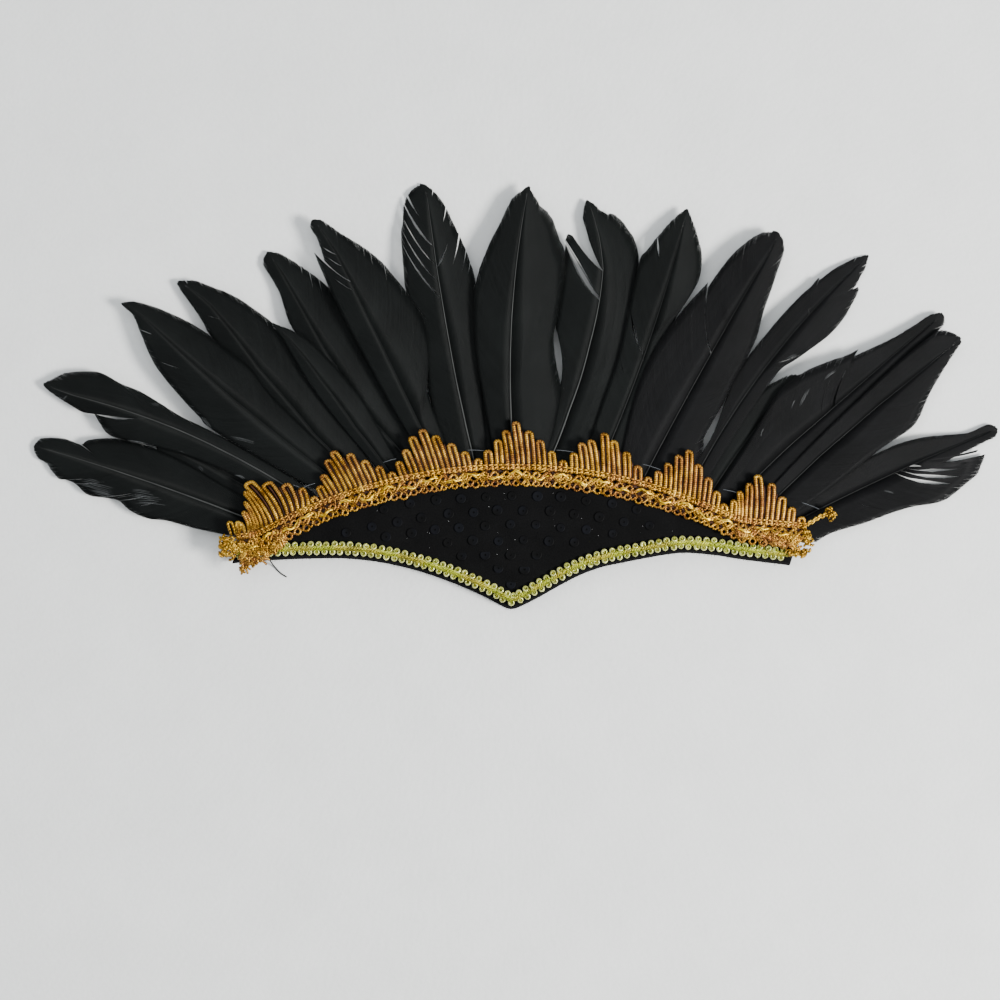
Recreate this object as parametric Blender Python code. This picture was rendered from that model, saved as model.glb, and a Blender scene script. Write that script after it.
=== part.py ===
"""Feathered headdress: a felt forehead band with a cloth front, gold crown lace, a bead braid and black feathers.

It lies on its back, the front facing +Z, the feather tips towards +Y and the wearer's left towards +X.
Every piece is first laid out flat, as layers over each other, and then draped over one shallow dome.
"""

import math

import bmesh
import bpy
from mathutils import Vector

# The forehead band. Its lower edge has a V at the middle and a shoulder on each side.
BAND_LENGTH = 0.280
V_DEPTH = 0.026
V_CURVE = 1.75
SHOULDER_SHARE = 0.63
END_DROP = 0.0035
EDGE_ABOVE_LACE = 0.0135
BACKING_THICKNESS = 0.0015
PANEL_THICKNESS = 0.0012
PANEL_INSET = 0.0010

# The arch, which the lower edge of the lace follows: round in the middle and nearly level at both ends.
# The shares are of half the band, and say where the arch starts to level out on each side.
ARCH_RADIUS = 0.245
ARCH_HEIGHT = 0.0335
LEVEL_SHARE_LEFT = 0.87
LEVEL_SHARE_RIGHT = 0.757
ARCH_LEVELLING = 0.016
ARCH_END_SLOPE = math.radians(5)

# The gold lace: scallops of loops on a crochet row with diamond holes.
LACE_THICKNESS = 0.0016
LACE_SHORT_OF_LEFT_END = 0.002
LACE_PAST_RIGHT_END = 0.010
SCALLOPS = 7
LOOP_SHARES = (0.17, 0.36, 0.59, 0.82, 1.0, 0.82, 0.59, 0.36)
PEAK_HEIGHT = 0.022
STITCH_LINE = 0.011
CORD_WIDTH = 0.0018
LOOP_WIDTH = 0.0043
LOOP_ROUNDING = 0.0008
HOLE_MIDDLE = 0.0052
HOLE_WIDTH = 0.0030
HOLE_HEIGHT = 0.0036
LACE_BORDER = 0.0010
LACE_CLIMB_FROM = 0.004
LACE_CLIMB_TO = 0.010

# The bead braid: two rows of beads on a cord.
BEAD_PITCH = 0.0039
BEAD_WIDTH = 0.0035
BEAD_BRAID_WIDTH = 0.0072
BEAD_BRAID_HEIGHT = 0.0020
BEAD_BRAID_INSET = 0.0020
BEAD_WAIST_SHARE = 0.7
BEAD_EDGE_SHARE = 0.125
BEAD_CREST_SHARE = 0.33
CORD_GROOVE_SHARE = 0.6

# The feathers.
FEATHER_LENGTH = 0.140
VANE_WIDTH = 0.020
QUILL_WIDTH = 0.0036
QUILL_TAPER = 0.0040
TIP_WIDTH = 0.0016
ROOT_DEPTH = 0.020
SHAFT_THICKNESS = 0.0006
VANE_EDGE_THICKNESS = 0.0004
VANE_DROOP = 0.0006
LAYERS = 4
LAYER_PITCH = 0.00095
LAYER_SPREAD = 0.0014
VANE_START_SHARE = 0.35

# Clearance between pieces that touch on the real thing.
GAP = 0.0003

# The dome: level at the middle of the band, falling away to the V, the ends and the feather tips.
DOME_HEIGHT = 0.010
LEVEL_HALF_WIDTH = 0.022
LEVEL_FROM_SHARE = 0.75
REACH_SIDE = 0.197
REACH_BACK = 0.124

# How finely the curves are divided.
BAND_STATIONS = 28
BAND_ROWS = 5
ARCH_STEP = 0.001
STEPS_PER_BEAD = 40
VANE_STATIONS = 12
SHARP_ANGLE = math.radians(40)

# Each feather: place along the arch as a share of half the band, heading and bend in degrees (positive to the
# right), length as a share of FEATHER_LENGTH, width of the left and the right vane as shares of VANE_WIDTH, the
# fullest place as a share of the length, how round each side of the tip is (1 pointed, 0.4 round), and the layer.
FEATHERS = {
    "feather_left_1": (-0.88, -68, -6, 0.86, 0.80, 0.80, 0.50, 0.50, 0.50, 1),
    "feather_left_2": (-0.70, -56, -20, 1.04, 0.78, 0.58, 0.60, 0.75, 0.75, 2),
    "feather_left_3": (-0.57, -53, 5, 1.04, 0.90, 0.90, 0.50, 0.95, 0.90, 3),
    "feather_left_4": (-0.49, -38, -11, 0.98, 0.65, 0.82, 0.50, 0.60, 0.90, 1),
    "feather_left_5": (-0.41, -28, -20, 0.69, 0.50, 0.58, 0.50, 0.75, 0.80, 2),
    "feather_left_6": (-0.32, -36, 3, 0.94, 0.55, 0.78, 0.60, 0.55, 0.55, 0),
    "feather_left_7": (-0.24, -24, -7, 0.99, 0.55, 1.10, 0.62, 0.75, 0.90, 3),
    "feather_middle_1": (-0.125, -13, 4, 1.01, 0.83, 0.93, 0.62, 0.40, 0.95, 1),
    "feather_middle_2": (0.01, -5, 16, 0.98, 0.88, 1.15, 0.62, 1.00, 0.60, 3),
    "feather_middle_3": (0.15, 26, -38, 0.97, 0.85, 0.95, 0.66, 0.75, 0.50, 1),
    "feather_middle_4": (0.30, 24, -10, 0.98, 0.80, 0.75, 0.60, 0.55, 0.65, 2),
    "feather_right_1": (0.45, 27, 4, 1.00, 1.00, 0.85, 0.50, 0.60, 0.55, 3),
    "feather_right_2": (0.61, 27, 21, 1.06, 0.52, 0.68, 0.65, 0.60, 0.55, 1),
    "feather_right_3": (0.745, 43, 7, 1.03, 0.55, 0.60, 0.55, 0.60, 0.60, 2),
    "feather_right_4": (0.93, 48, 0, 0.94, 0.55, 0.85, 0.55, 0.60, 0.90, 3),
    "feather_right_5": (1.055, 63, 5, 0.77, 0.60, 1.10, 0.60, 0.95, 0.55, 1),
    "feather_back_1": (-0.79, -55, -14, 0.54, 0.60, 0.60, 0.45, 0.60, 0.60, 0),
    "feather_back_2": (-0.05, -5, 0, 0.58, 0.65, 0.65, 0.45, 0.60, 0.60, 0),
    "feather_back_3": (0.235, 9, 0, 0.56, 0.60, 0.60, 0.45, 0.60, 0.60, 0),
    "feather_back_4": (0.68, 32, 10, 0.56, 0.60, 0.60, 0.45, 0.60, 0.60, 0),
    "feather_back_5": (0.842, 40, 4, 0.74, 0.55, 0.60, 0.50, 0.60, 0.60, 1),
}

# Where the lace runs along the arch, from the middle.
LACE_START = LACE_SHORT_OF_LEFT_END - BAND_LENGTH / 2
LACE_LENGTH = BAND_LENGTH / 2 + LACE_PAST_RIGHT_END - LACE_START

# Heights of the layers above the underside of the backing.
FEATHERS_FROM = BACKING_THICKNESS + GAP + SHAFT_THICKNESS / 2
PANEL_UNDERSIDE = FEATHERS_FROM + (LAYERS - 1) * LAYER_PITCH + SHAFT_THICKNESS / 2 + GAP
PANEL_TOP = PANEL_UNDERSIDE + PANEL_THICKNESS


def smooth(x, start, end):
    """0 before the start, 1 after the end, and a smooth rise between."""
    t = min(1.0, max(0.0, (x - start) / (end - start)))
    return t * t * (3 - 2 * t)


def dome(x, y):
    """Height of the dome, which is exactly level at the middle of the band."""
    side = max(0.0, abs(x) - LEVEL_HALF_WIDTH) / REACH_SIDE
    level_from = LEVEL_FROM_SHARE * ARCH_HEIGHT
    front = max(0.0, level_from - y) / (level_from + V_DEPTH)
    back = max(0.0, y - ARCH_HEIGHT - EDGE_ABOVE_LACE) / REACH_BACK
    return DOME_HEIGHT * (1 - side * side - front * front - back * back)


def draped(x, y, height):
    return Vector((x, y, height + dome(x, y)))


def arch_heading(s):
    """Slope of the arch at a distance along it from the middle."""
    level_from = (LEVEL_SHARE_RIGHT if s > 0 else LEVEL_SHARE_LEFT) * BAND_LENGTH / 2
    levelled = smooth(abs(s), level_from, level_from + ARCH_LEVELLING)
    slope = abs(s) / ARCH_RADIUS
    slope += (ARCH_END_SLOPE - slope) * levelled
    return -math.copysign(slope, s)


def arch(s, above=0.0):
    """A point at a distance along the arch from its middle, and at a height above it."""
    steps = 1 + round(abs(s) / ARCH_STEP)
    step = s / steps
    x = y = 0.0
    for i in range(steps):
        heading = arch_heading((i + 0.5) * step)
        x += step * math.cos(heading)
        y += step * math.sin(heading)
    heading = arch_heading(s)
    return x - above * math.sin(heading), ARCH_HEIGHT + y + above * math.cos(heading)


def lower_edge(x, inset=0.0):
    """The lower edge of the band, and lines at a distance inside it."""
    out = abs(x)
    shoulder = SHOULDER_SHARE * BAND_LENGTH / 2
    if out < shoulder:
        share = 1 - out / shoulder
        y = -V_DEPTH * share**V_CURVE
        slope = V_DEPTH * V_CURVE * share ** (V_CURVE - 1) / shoulder
    else:
        run = BAND_LENGTH / 2 - shoulder
        share = (out - shoulder) / run
        y = -END_DROP * share * share
        slope = 2 * END_DROP * share / run
    return y + inset * math.hypot(1, slope)


def material(name, colour, roughness, metallic=0.0):
    finish = bpy.data.materials.new(name)
    finish.use_nodes = True
    shader = finish.node_tree.nodes["Principled BSDF"]
    shader.inputs["Base Color"].default_value = (*colour, 1)
    shader.inputs["Roughness"].default_value = roughness
    shader.inputs["Metallic"].default_value = metallic
    return finish


def add_object(name, bm, finish, parent):
    bmesh.ops.recalc_face_normals(bm, faces=bm.faces)
    mesh = bpy.data.meshes.new(name)
    bm.to_mesh(mesh)
    bm.free()
    mesh.shade_smooth()
    mesh.set_sharp_from_angle(angle=SHARP_ANGLE)
    mesh.materials.append(finish)
    piece = bpy.data.objects.new(name, mesh)
    piece.parent = parent
    bpy.context.collection.objects.link(piece)
    return piece


def sheet(points, cells):
    """A closed sheet of flat cells. A point is x, y, underside and top; a cell lists its corners anticlockwise."""
    bm = bmesh.new()
    under = [bm.verts.new(draped(x, y, low)) for x, y, low, high in points]
    over = [bm.verts.new(draped(x, y, high)) for x, y, low, high in points]
    sides = {(a, b) for cell in cells for a, b in zip(cell, cell[1:] + cell[:1])}
    for cell in cells:
        bm.faces.new([over[i] for i in cell])
        bm.faces.new([under[i] for i in reversed(cell)])
    for a, b in sides:
        if (b, a) not in sides:
            bm.faces.new((under[a], under[b], over[b], over[a]))
    return bm


def grid_cells(rows, columns):
    """The cells of a grid whose points run row by row, from left to right and upwards."""
    corners = ((row * columns + column, columns) for row in range(rows - 1) for column in range(columns - 1))
    return [(i, i + 1, i + n + 1, i + n) for i, n in corners]


def band_sheet(underside, thickness, inset):
    """A layer of the band, from its lower edge up to the edge behind the lace."""
    points = []
    for row in range(BAND_ROWS + 1):
        for station in range(BAND_STATIONS + 1):
            share = station / BAND_STATIONS
            x = (share - 0.5) * (BAND_LENGTH - 2 * inset)
            foot = (x, lower_edge(x, inset))
            head = arch(LACE_START + inset + share * (LACE_LENGTH - 2 * inset), EDGE_ABOVE_LACE)
            up = row / BAND_ROWS
            x = foot[0] + (head[0] - foot[0]) * up
            y = foot[1] + (head[1] - foot[1]) * up
            points.append((x, y, underside, underside + thickness))
    return sheet(points, grid_cells(BAND_ROWS + 1, BAND_STATIONS + 1))


def bead_run():
    """Where each bead sits along the lower edge, and half-way between it and the next."""
    step = BEAD_PITCH / STEPS_PER_BEAD
    end = BAND_LENGTH / 2 - BEAD_BRAID_INSET
    line = BEAD_BRAID_INSET + BEAD_BRAID_WIDTH / 2
    x, run, marks = -end, 0.0, [-end]
    while x < end:
        rise = lower_edge(x + step, line) - lower_edge(x, line)
        run += math.hypot(step, rise)
        x += step
        if run >= len(marks) * BEAD_PITCH / 2:
            marks.append(x)
    return marks


def bead_braid(finish, parent):
    """Two rows of beads side by side, with scalloped edges and a groove where the cord lies."""
    bm = bmesh.new()
    floor = PANEL_TOP + GAP
    rings = []
    for i, x in enumerate(bead_run()):
        on_bead = i % 2 == 0
        half = BEAD_BRAID_WIDTH / 2 - (0.0 if on_bead else BEAD_EDGE_SHARE * BEAD_WIDTH)
        crest = BEAD_BRAID_HEIGHT if on_bead else BEAD_BRAID_HEIGHT * BEAD_WAIST_SHARE
        groove = BEAD_BRAID_HEIGHT * CORD_GROOVE_SHARE
        section = (
            (-half, 0.0),
            (half, 0.0),
            (half - BEAD_CREST_SHARE * BEAD_WIDTH, crest),
            (0.0, groove),
            (BEAD_CREST_SHARE * BEAD_WIDTH - half, crest),
        )
        line = BEAD_BRAID_INSET + BEAD_BRAID_WIDTH / 2
        rings.append([bm.verts.new(draped(x, lower_edge(x, line + across), floor + up)) for across, up in section])
    for ring, following in zip(rings, rings[1:]):
        for i in range(len(ring)):
            j = (i + 1) % len(ring)
            bm.faces.new((ring[i], ring[j], following[j], following[i]))
    bm.faces.new(reversed(rings[0]))
    bm.faces.new(rings[-1])
    return add_object("bead_braid", bm, finish, parent)


def lace_lift(x, y):
    """How far the lace climbs at its ends to pass over the bead braid."""
    beads_end = lower_edge(x, BEAD_BRAID_INSET + BEAD_BRAID_WIDTH)
    clear = smooth(y - beads_end, LACE_CLIMB_FROM, LACE_CLIMB_TO)
    return (BEAD_BRAID_HEIGHT + GAP) * (1 - clear)


def gold_braid(finish, parent):
    """Seven scallops of loops over a crochet row, with a slit in each loop and a hole at every second one."""
    floor = PANEL_TOP + GAP
    loops = SCALLOPS * len(LOOP_SHARES) + 1
    pitch = LACE_LENGTH / loops
    points, cells, known = [], [], {}

    def point(along, up):
        key = (round(along, 6), round(up, 6))
        if key not in known:
            known[key] = len(points)
            x, y = arch(along, up)
            low = floor + lace_lift(x, y)
            points.append((x, y, low, low + LACE_THICKNESS))
        return known[key]

    for i in range(loops):
        start, end = LACE_START + i * pitch, LACE_START + (i + 1) * pitch
        middle = (start + end) / 2
        outer = [middle - LOOP_WIDTH / 2, middle + LOOP_WIDTH / 2]
        inner = [outer[0] + CORD_WIDTH, outer[1] - CORD_WIDTH]
        around_hole = HOLE_HEIGHT / 2 + LACE_BORDER
        rows = (0.0, HOLE_MIDDLE - around_hole, HOLE_MIDDLE + around_hole)
        corners = [point(start, rows[1]), point(end, rows[1]), point(end, rows[2]), point(start, rows[2])]
        cells.append((point(start, rows[0]), point(end, rows[0]), corners[1], corners[0]))
        if i % 2:
            hole = [
                point(middle, HOLE_MIDDLE - HOLE_HEIGHT / 2),
                point(middle + HOLE_WIDTH / 2, HOLE_MIDDLE),
                point(middle, HOLE_MIDDLE + HOLE_HEIGHT / 2),
                point(middle - HOLE_WIDTH / 2, HOLE_MIDDLE),
            ]
            for a in range(4):
                b = (a + 1) % 4
                cells.append((corners[a], corners[b], hole[b], hole[a]))
        else:
            cells.append(tuple(corners))
        across = [outer[0], inner[0], inner[1], outer[1]]
        stitches = [point(along, STITCH_LINE) for along in across]
        ends = [point(start, STITCH_LINE), point(end, STITCH_LINE)]
        cells.append((corners[3], corners[2], ends[1], *reversed(stitches), ends[0]))
        top = STITCH_LINE + PEAK_HEIGHT * LOOP_SHARES[i % len(LOOP_SHARES)]
        bend = top - CORD_WIDTH
        bends = [point(along, bend) for along in across]
        tops = [point(along, top if 0 < k < 3 else top - LOOP_ROUNDING) for k, along in enumerate(across)]
        cells.append((stitches[0], stitches[1], bends[1], bends[0]))
        cells.append((stitches[2], stitches[3], bends[3], bends[2]))
        for k in range(3):
            cells.append((bends[k], bends[k + 1], tops[k + 1], tops[k]))
    return add_object("gold_braid", sheet(points, cells), finish, parent)


def vane_share(along, fullest, point):
    """How wide a vane is at a share of its length: a narrow start, the fullest place, then the tip."""
    if along < fullest:
        return VANE_START_SHARE + (1 - VANE_START_SHARE) * math.sin(math.pi / 2 * along / fullest)
    past = (along - fullest) / (1 - fullest)
    return (1 - past * past) ** point


def feather(name, finish, parent):
    """One feather: its quill fills the band from cloth to felt, and two vanes follow a gently curved shaft."""
    at, heading, bend, length, left, right, fullest, left_point, right_point, layer = FEATHERS[name]
    length *= FEATHER_LENGTH
    start_x, start_y = arch(at * BAND_LENGTH / 2, EDGE_ABOVE_LACE)
    points = []

    def add_station(run, half_left, half_right, edge, shaft):
        """Three points across the feather at a distance along it, between the heights given for each."""
        turned = math.radians(bend) * max(0.0, run) / length
        towards = math.radians(heading) + turned
        chord = run if turned == 0 else run * math.sin(turned / 2) / (turned / 2)
        x = start_x + chord * math.sin(towards - turned / 2)
        y = start_y + chord * math.cos(towards - turned / 2)
        for side, (low, high) in ((-half_left, edge), (0.0, shaft), (half_right, edge)):
            points.append((x + side * math.cos(towards), y - side * math.sin(towards), low, high))

    quill = (BACKING_THICKNESS + GAP, PANEL_UNDERSIDE - GAP)
    for run in (-ROOT_DEPTH, -QUILL_TAPER):
        add_station(run, QUILL_WIDTH / 2, QUILL_WIDTH / 2, quill, quill)
    for i in range(VANE_STATIONS + 1):
        along = math.sin(math.pi / 2 * i / VANE_STATIONS)
        middle = FEATHERS_FROM + layer * (LAYER_PITCH + LAYER_SPREAD * along * along)
        rim = middle - VANE_DROOP * along
        add_station(
            along * length,
            TIP_WIDTH / 2 + left * VANE_WIDTH * vane_share(along, fullest, left_point),
            TIP_WIDTH / 2 + right * VANE_WIDTH * vane_share(along, fullest, right_point),
            (rim - VANE_EDGE_THICKNESS / 2, rim + VANE_EDGE_THICKNESS / 2),
            (middle - SHAFT_THICKNESS / 2, middle + SHAFT_THICKNESS / 2),
        )
    return add_object(name, sheet(points, grid_cells(len(points) // 3, 3)), finish, parent)


def build():
    for old in list(bpy.data.objects):
        bpy.data.objects.remove(old, do_unlink=True)
    root = bpy.data.objects.new("headdress", None)
    bpy.context.collection.objects.link(root)
    felt = material("black_felt", (0.012, 0.012, 0.013), 0.95)
    cloth = material("black_sequin_cloth", (0.010, 0.010, 0.011), 0.70)
    gold = material("gold_lace", (0.55, 0.28, 0.06), 0.40, 0.6)
    lime = material("lime_gold_beads", (0.55, 0.58, 0.14), 0.30, 0.4)
    plume = material("black_feather", (0.010, 0.011, 0.012), 0.50)
    pieces = [
        add_object("backing", band_sheet(0.0, BACKING_THICKNESS, 0.0), felt, root),
        add_object("front_panel", band_sheet(PANEL_UNDERSIDE, PANEL_THICKNESS, PANEL_INSET), cloth, root),
        bead_braid(lime, root),
        gold_braid(gold, root),
    ]
    pieces += [feather(name, plume, root) for name in FEATHERS]
    corners = [v.co for piece in pieces for v in piece.data.vertices]
    low = Vector(min(c[axis] for c in corners) for axis in range(3))
    high = Vector(max(c[axis] for c in corners) for axis in range(3))
    root.location = (-(low.x + high.x) / 2, -(low.y + high.y) / 2, -low.z)


build()
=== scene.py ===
"""Looks of the feathered headdress: camera, light, floor and the finish of every piece.

Flat distances are laid out as the band is cut: x from the middle of the V, y from the shoulders of its lower
edge, and a height above the underside of the felt. Everything is then draped over the same shallow dome.
"""

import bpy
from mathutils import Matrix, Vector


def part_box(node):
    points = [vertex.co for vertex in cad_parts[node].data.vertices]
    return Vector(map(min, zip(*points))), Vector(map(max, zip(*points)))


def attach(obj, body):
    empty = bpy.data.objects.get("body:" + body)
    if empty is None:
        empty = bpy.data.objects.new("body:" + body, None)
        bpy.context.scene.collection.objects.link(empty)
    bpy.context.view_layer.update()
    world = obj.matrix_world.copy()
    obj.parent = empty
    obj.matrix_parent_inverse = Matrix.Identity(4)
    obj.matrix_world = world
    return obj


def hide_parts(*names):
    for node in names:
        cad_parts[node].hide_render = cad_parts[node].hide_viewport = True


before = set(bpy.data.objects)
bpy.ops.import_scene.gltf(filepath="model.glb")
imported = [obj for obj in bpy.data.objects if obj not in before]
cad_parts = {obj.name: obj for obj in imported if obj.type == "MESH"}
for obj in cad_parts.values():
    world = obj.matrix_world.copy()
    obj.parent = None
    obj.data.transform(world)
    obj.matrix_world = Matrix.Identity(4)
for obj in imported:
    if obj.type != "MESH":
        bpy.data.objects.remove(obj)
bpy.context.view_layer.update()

import math

import bpy
import numpy as np
from mathutils import Vector
from mathutils.bvhtree import BVHTree

# The band and its arch.
BAND_LENGTH = 0.280
HALF_BAND = BAND_LENGTH / 2
V_DEPTH = 0.026
V_CURVE = 1.75
SHOULDER = 0.63 * HALF_BAND
END_DROP = 0.0035
# How far the lower edge dips below its plain curve, in millimetres, at distances from the tip of the V.
EDGE_DIPS = ((-160, 1.0), (-130, 1.3), (-115, 1.9), (-97, 2.1), (-80, 2.0), (-64, 1.6), (-47, 1.4), (-30, 1.5), (-14, 1.7),
             (-3, 2.4), (3, 2.7), (10, 2.8), (18, 2.0), (27, 0.6), (35, -0.5), (45, -0.9), (55, -0.2), (66, 0.0), (76, -0.3),
             (86, -0.8), (95, -0.3), (105, 0.5), (115, 1.7), (125, 2.1), (160, 2.3))
EDGE_ABOVE_LACE = 0.0135
ARCH_RADIUS = 0.245
ARCH_HEIGHT = 0.0335
LEVEL_SHARE_LEFT = 0.87
LEVEL_SHARE_RIGHT = 0.757
ARCH_LEVELLING = 0.016
ARCH_END_SLOPE = math.radians(5)
LACE_START = -0.138
LACE_LENGTH = 0.288

# The layers of the band, as heights above the underside of the felt.
FELT_THICKNESS = 0.0015
FEATHERS_FROM = 0.0021
PANEL_UNDERSIDE = 0.00555
PANEL_TOP = 0.00675
TRIM_FROM = PANEL_TOP + 0.0003

# The dome.
DOME_HEIGHT = 0.010
LEVEL_HALF_WIDTH = 0.022
LEVEL_FROM = 0.75 * ARCH_HEIGHT
REACH_SIDE = 0.197
REACH_BACK = 0.124

# The bead braid.
BEAD_PITCH = 0.0039
BEAD_ROW_GAP = 0.0037
BEAD_LINE = 0.0052
BEAD_BRAID_HEIGHT = 0.0020

shift_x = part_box("backing")[0][0] + HALF_BAND
shift_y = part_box("backing")[0][1] + V_DEPTH
dice = np.random.default_rng(7)


# ---------- laying out ----------


def smooth(x, start, end):
    """0 before the start, 1 after the end, and a smooth rise between."""
    t = np.clip((np.asarray(x, float) - start) / (end - start), 0, 1)
    return t * t * (3 - 2 * t)


def dome(x, y):
    side = np.maximum(0, np.abs(x) - LEVEL_HALF_WIDTH) / REACH_SIDE
    front = np.maximum(0, LEVEL_FROM - y) / (LEVEL_FROM + V_DEPTH)
    back = np.maximum(0, y - ARCH_HEIGHT - EDGE_ABOVE_LACE) / REACH_BACK
    return DOME_HEIGHT * (1 - side**2 - front**2 - back**2)


def draped(x, y, height):
    """Flat places and heights as points on the dome, in the shared frame."""
    x, y, height = np.broadcast_arrays(x, y, height)
    fall = dome(x, y)
    fall = np.where(y < 0, np.maximum(fall, 0.0003), fall)
    return np.stack([x + shift_x, y + shift_y, height + fall], axis=-1)


def arch_table():
    """The arch in half-millimetre steps: distance along it, place and heading."""
    step = 0.0005
    along = np.arange(-0.170, 0.170 + step / 2, step)
    level_from = np.where(along > 0, LEVEL_SHARE_RIGHT, LEVEL_SHARE_LEFT) * HALF_BAND
    levelled = smooth(np.abs(along) - level_from, 0, ARCH_LEVELLING)
    slope = np.abs(along) / ARCH_RADIUS
    heading = -np.sign(along) * (slope + (ARCH_END_SLOPE - slope) * levelled)
    between = (heading[1:] + heading[:-1]) / 2
    x = np.concatenate([[0], np.cumsum(step * np.cos(between))])
    y = np.concatenate([[0], np.cumsum(step * np.sin(between))])
    x -= np.interp(0, along, x)
    y -= np.interp(0, along, y)
    return along, x, ARCH_HEIGHT + y, heading


ARCH = arch_table()


def arch(s, above=0.0):
    """Flat places at distances along the arch and at heights above it."""
    x, y, heading = (np.interp(s, ARCH[0], values) for values in ARCH[1:])
    return x - above * np.sin(heading), y + above * np.cos(heading)


def edge_table():
    """The lower edge: a V with a rounded tip, and small dips where the cut wanders, as x and y."""
    x = np.linspace(-HALF_BAND - 0.02, HALF_BAND + 0.02, 1281)
    out = np.abs(x)
    share = np.maximum(0, 1 - out / SHOULDER)
    past = np.maximum(0, out - SHOULDER) / (HALF_BAND - SHOULDER)
    y = -V_DEPTH * share**V_CURVE - END_DROP * past**2 - 0.001 * np.interp(x * 1000, *zip(*EDGE_DIPS))
    near = np.exp(-0.5 * (np.arange(-36, 37) / 10.0) ** 2)
    y = np.convolve(np.pad(y, 36, mode="edge"), near / near.sum(), mode="valid")
    return x, y, np.gradient(y, x)


EDGE = edge_table()


def lower_edge(x, inset=0.0):
    return np.interp(x, EDGE[0], EDGE[1]) + inset * np.hypot(1, np.interp(x, EDGE[0], EDGE[2]))


def lace_lift(x, y):
    """How far the lace climbs at its ends to pass over the bead braid."""
    beads_end = lower_edge(x, 0.0092)
    return (BEAD_BRAID_HEIGHT + 0.0003) * (1 - smooth(y - beads_end, 0.004, 0.010))


# ---------- making meshes ----------


def finish_piece(name, mesh_data, material, nodes=()):
    """Joins points and faces into one mesh object that rides with the headdress."""
    points = np.concatenate([part[0] for part in mesh_data])
    faces, strips = [], []
    first = 0
    for part in mesh_data:
        for block in part[1]:
            faces.extend((np.asarray(block) + first).tolist())
        first += len(part[0])
        strips.append(part[2])
    mesh = bpy.data.meshes.new(name)
    mesh.from_pydata(points.tolist(), [], faces)
    layer = mesh.uv_layers.new(name="along")
    marks = np.concatenate(strips)
    corner = np.empty(len(mesh.loops), dtype=np.int32)
    mesh.loops.foreach_get("vertex_index", corner)
    layer.data.foreach_set("uv", marks[corner].astype(np.float32).ravel())
    mesh.shade_smooth()
    mesh.materials.append(material)
    piece = bpy.data.objects.new(name, mesh)
    bpy.context.collection.objects.link(piece)
    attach(piece, "root")
    if nodes:
        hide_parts(*nodes)
    return piece


def tube(path, radius, sides=8, lobes=0, depth=0.0, turn=0.0, flat=1.0):
    """A closed tube along a path. Lobes that turn along it make it a twisted cord."""
    path = np.asarray(path, float)
    ahead = np.gradient(path, axis=0)
    ahead /= np.linalg.norm(ahead, axis=1, keepdims=True) + 1e-12
    beside = np.cross(ahead, (0.0, 0.0, 1.0))
    long_enough = np.linalg.norm(beside, axis=1, keepdims=True)
    beside = np.where(long_enough > 1e-3, beside / np.maximum(long_enough, 1e-9), (1.0, 0.0, 0.0))
    up = np.cross(beside, ahead)
    run = np.concatenate([[0], np.cumsum(np.linalg.norm(np.diff(path, axis=0), axis=1))])
    angle = np.arange(sides) * 2 * math.pi / sides
    size = np.broadcast_to(np.asarray(radius, float), (len(path),))[:, None]
    ripple = 1 + depth * np.cos(lobes * angle[None, :] - run[:, None] * turn)
    across = (size * ripple * np.cos(angle))[..., None] * beside[:, None, :]
    above = (size * ripple * np.sin(angle) * flat)[..., None] * up[:, None, :]
    rings = path[:, None, :] + across + above
    points = np.concatenate([rings.reshape(-1, 3), path[:1], path[-1:]])
    marks = np.stack(np.broadcast_arrays(angle[None, :] / (2 * math.pi), run[:, None]), axis=-1).reshape(-1, 2)
    marks = np.concatenate([marks, [[0.5, run[0]], [0.5, run[-1]]]])
    i = np.arange(len(path) - 1)[:, None] * sides
    j = np.arange(sides)[None, :]
    k = (j + 1) % sides
    quads = np.stack([i + j, i + sides + j, i + sides + k, i + k], axis=-1).reshape(-1, 4)
    j, k = j[0], k[0]
    count = len(path) * sides
    start_cap = np.stack([np.full(sides, count), j, k], axis=-1)
    end_cap = np.stack([np.full(sides, count + 1), count - sides + k, count - sides + j], axis=-1)
    return points, (quads, np.concatenate([start_cap, end_cap])), marks


def flow(points, spacing):
    """A smooth line through given points, divided at an even spacing."""
    points = np.asarray(points, float)
    padded = np.vstack([2 * points[0] - points[1], points, 2 * points[-1] - points[-2]])
    line = []
    for a, b, c, d in zip(padded, padded[1:], padded[2:], padded[3:]):
        t = np.linspace(0, 1, 9)[:-1, None]
        line.append(0.5 * (2 * b + (c - a) * t + (2 * a - 5 * b + 4 * c - d) * t**2 + (3 * b - a - 3 * c + d) * t**3))
    line = np.vstack([*line, points[-1:]])
    run = np.concatenate([[0], np.cumsum(np.linalg.norm(np.diff(line, axis=0), axis=1))])
    even = np.linspace(0, run[-1], max(3, int(run[-1] / spacing) + 1))
    return np.stack([np.interp(even, run, column) for column in line.T], axis=-1)


def copies(points, faces, marks, places):
    """One small shape set at many places, each a centre, three axes and a size."""
    made = []
    for centre, axes, size in places:
        made.append((centre + points @ (np.asarray(axes) * size), faces, marks))
    return made


# ---------- materials ----------


class Sum:
    """One socket of a material, with arithmetic that adds Math nodes."""

    def __init__(self, finish, socket):
        self.finish, self.socket = finish, socket

    def _maths(self, operation, a, b):
        return self.finish.node("ShaderNodeMath", {"operation": operation}, {0: a, 1: b})

    def __add__(self, other):
        return self._maths("ADD", self, other)

    __radd__ = __add__

    def __sub__(self, other):
        return self._maths("SUBTRACT", self, other)

    def __rsub__(self, other):
        return self._maths("SUBTRACT", other, self)

    def __mul__(self, other):
        return self._maths("MULTIPLY", self, other)

    __rmul__ = __mul__

    def sine(self):
        return self._maths("SINE", self, 0.0)

    def power(self, other):
        return self._maths("POWER", self, other)


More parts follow.
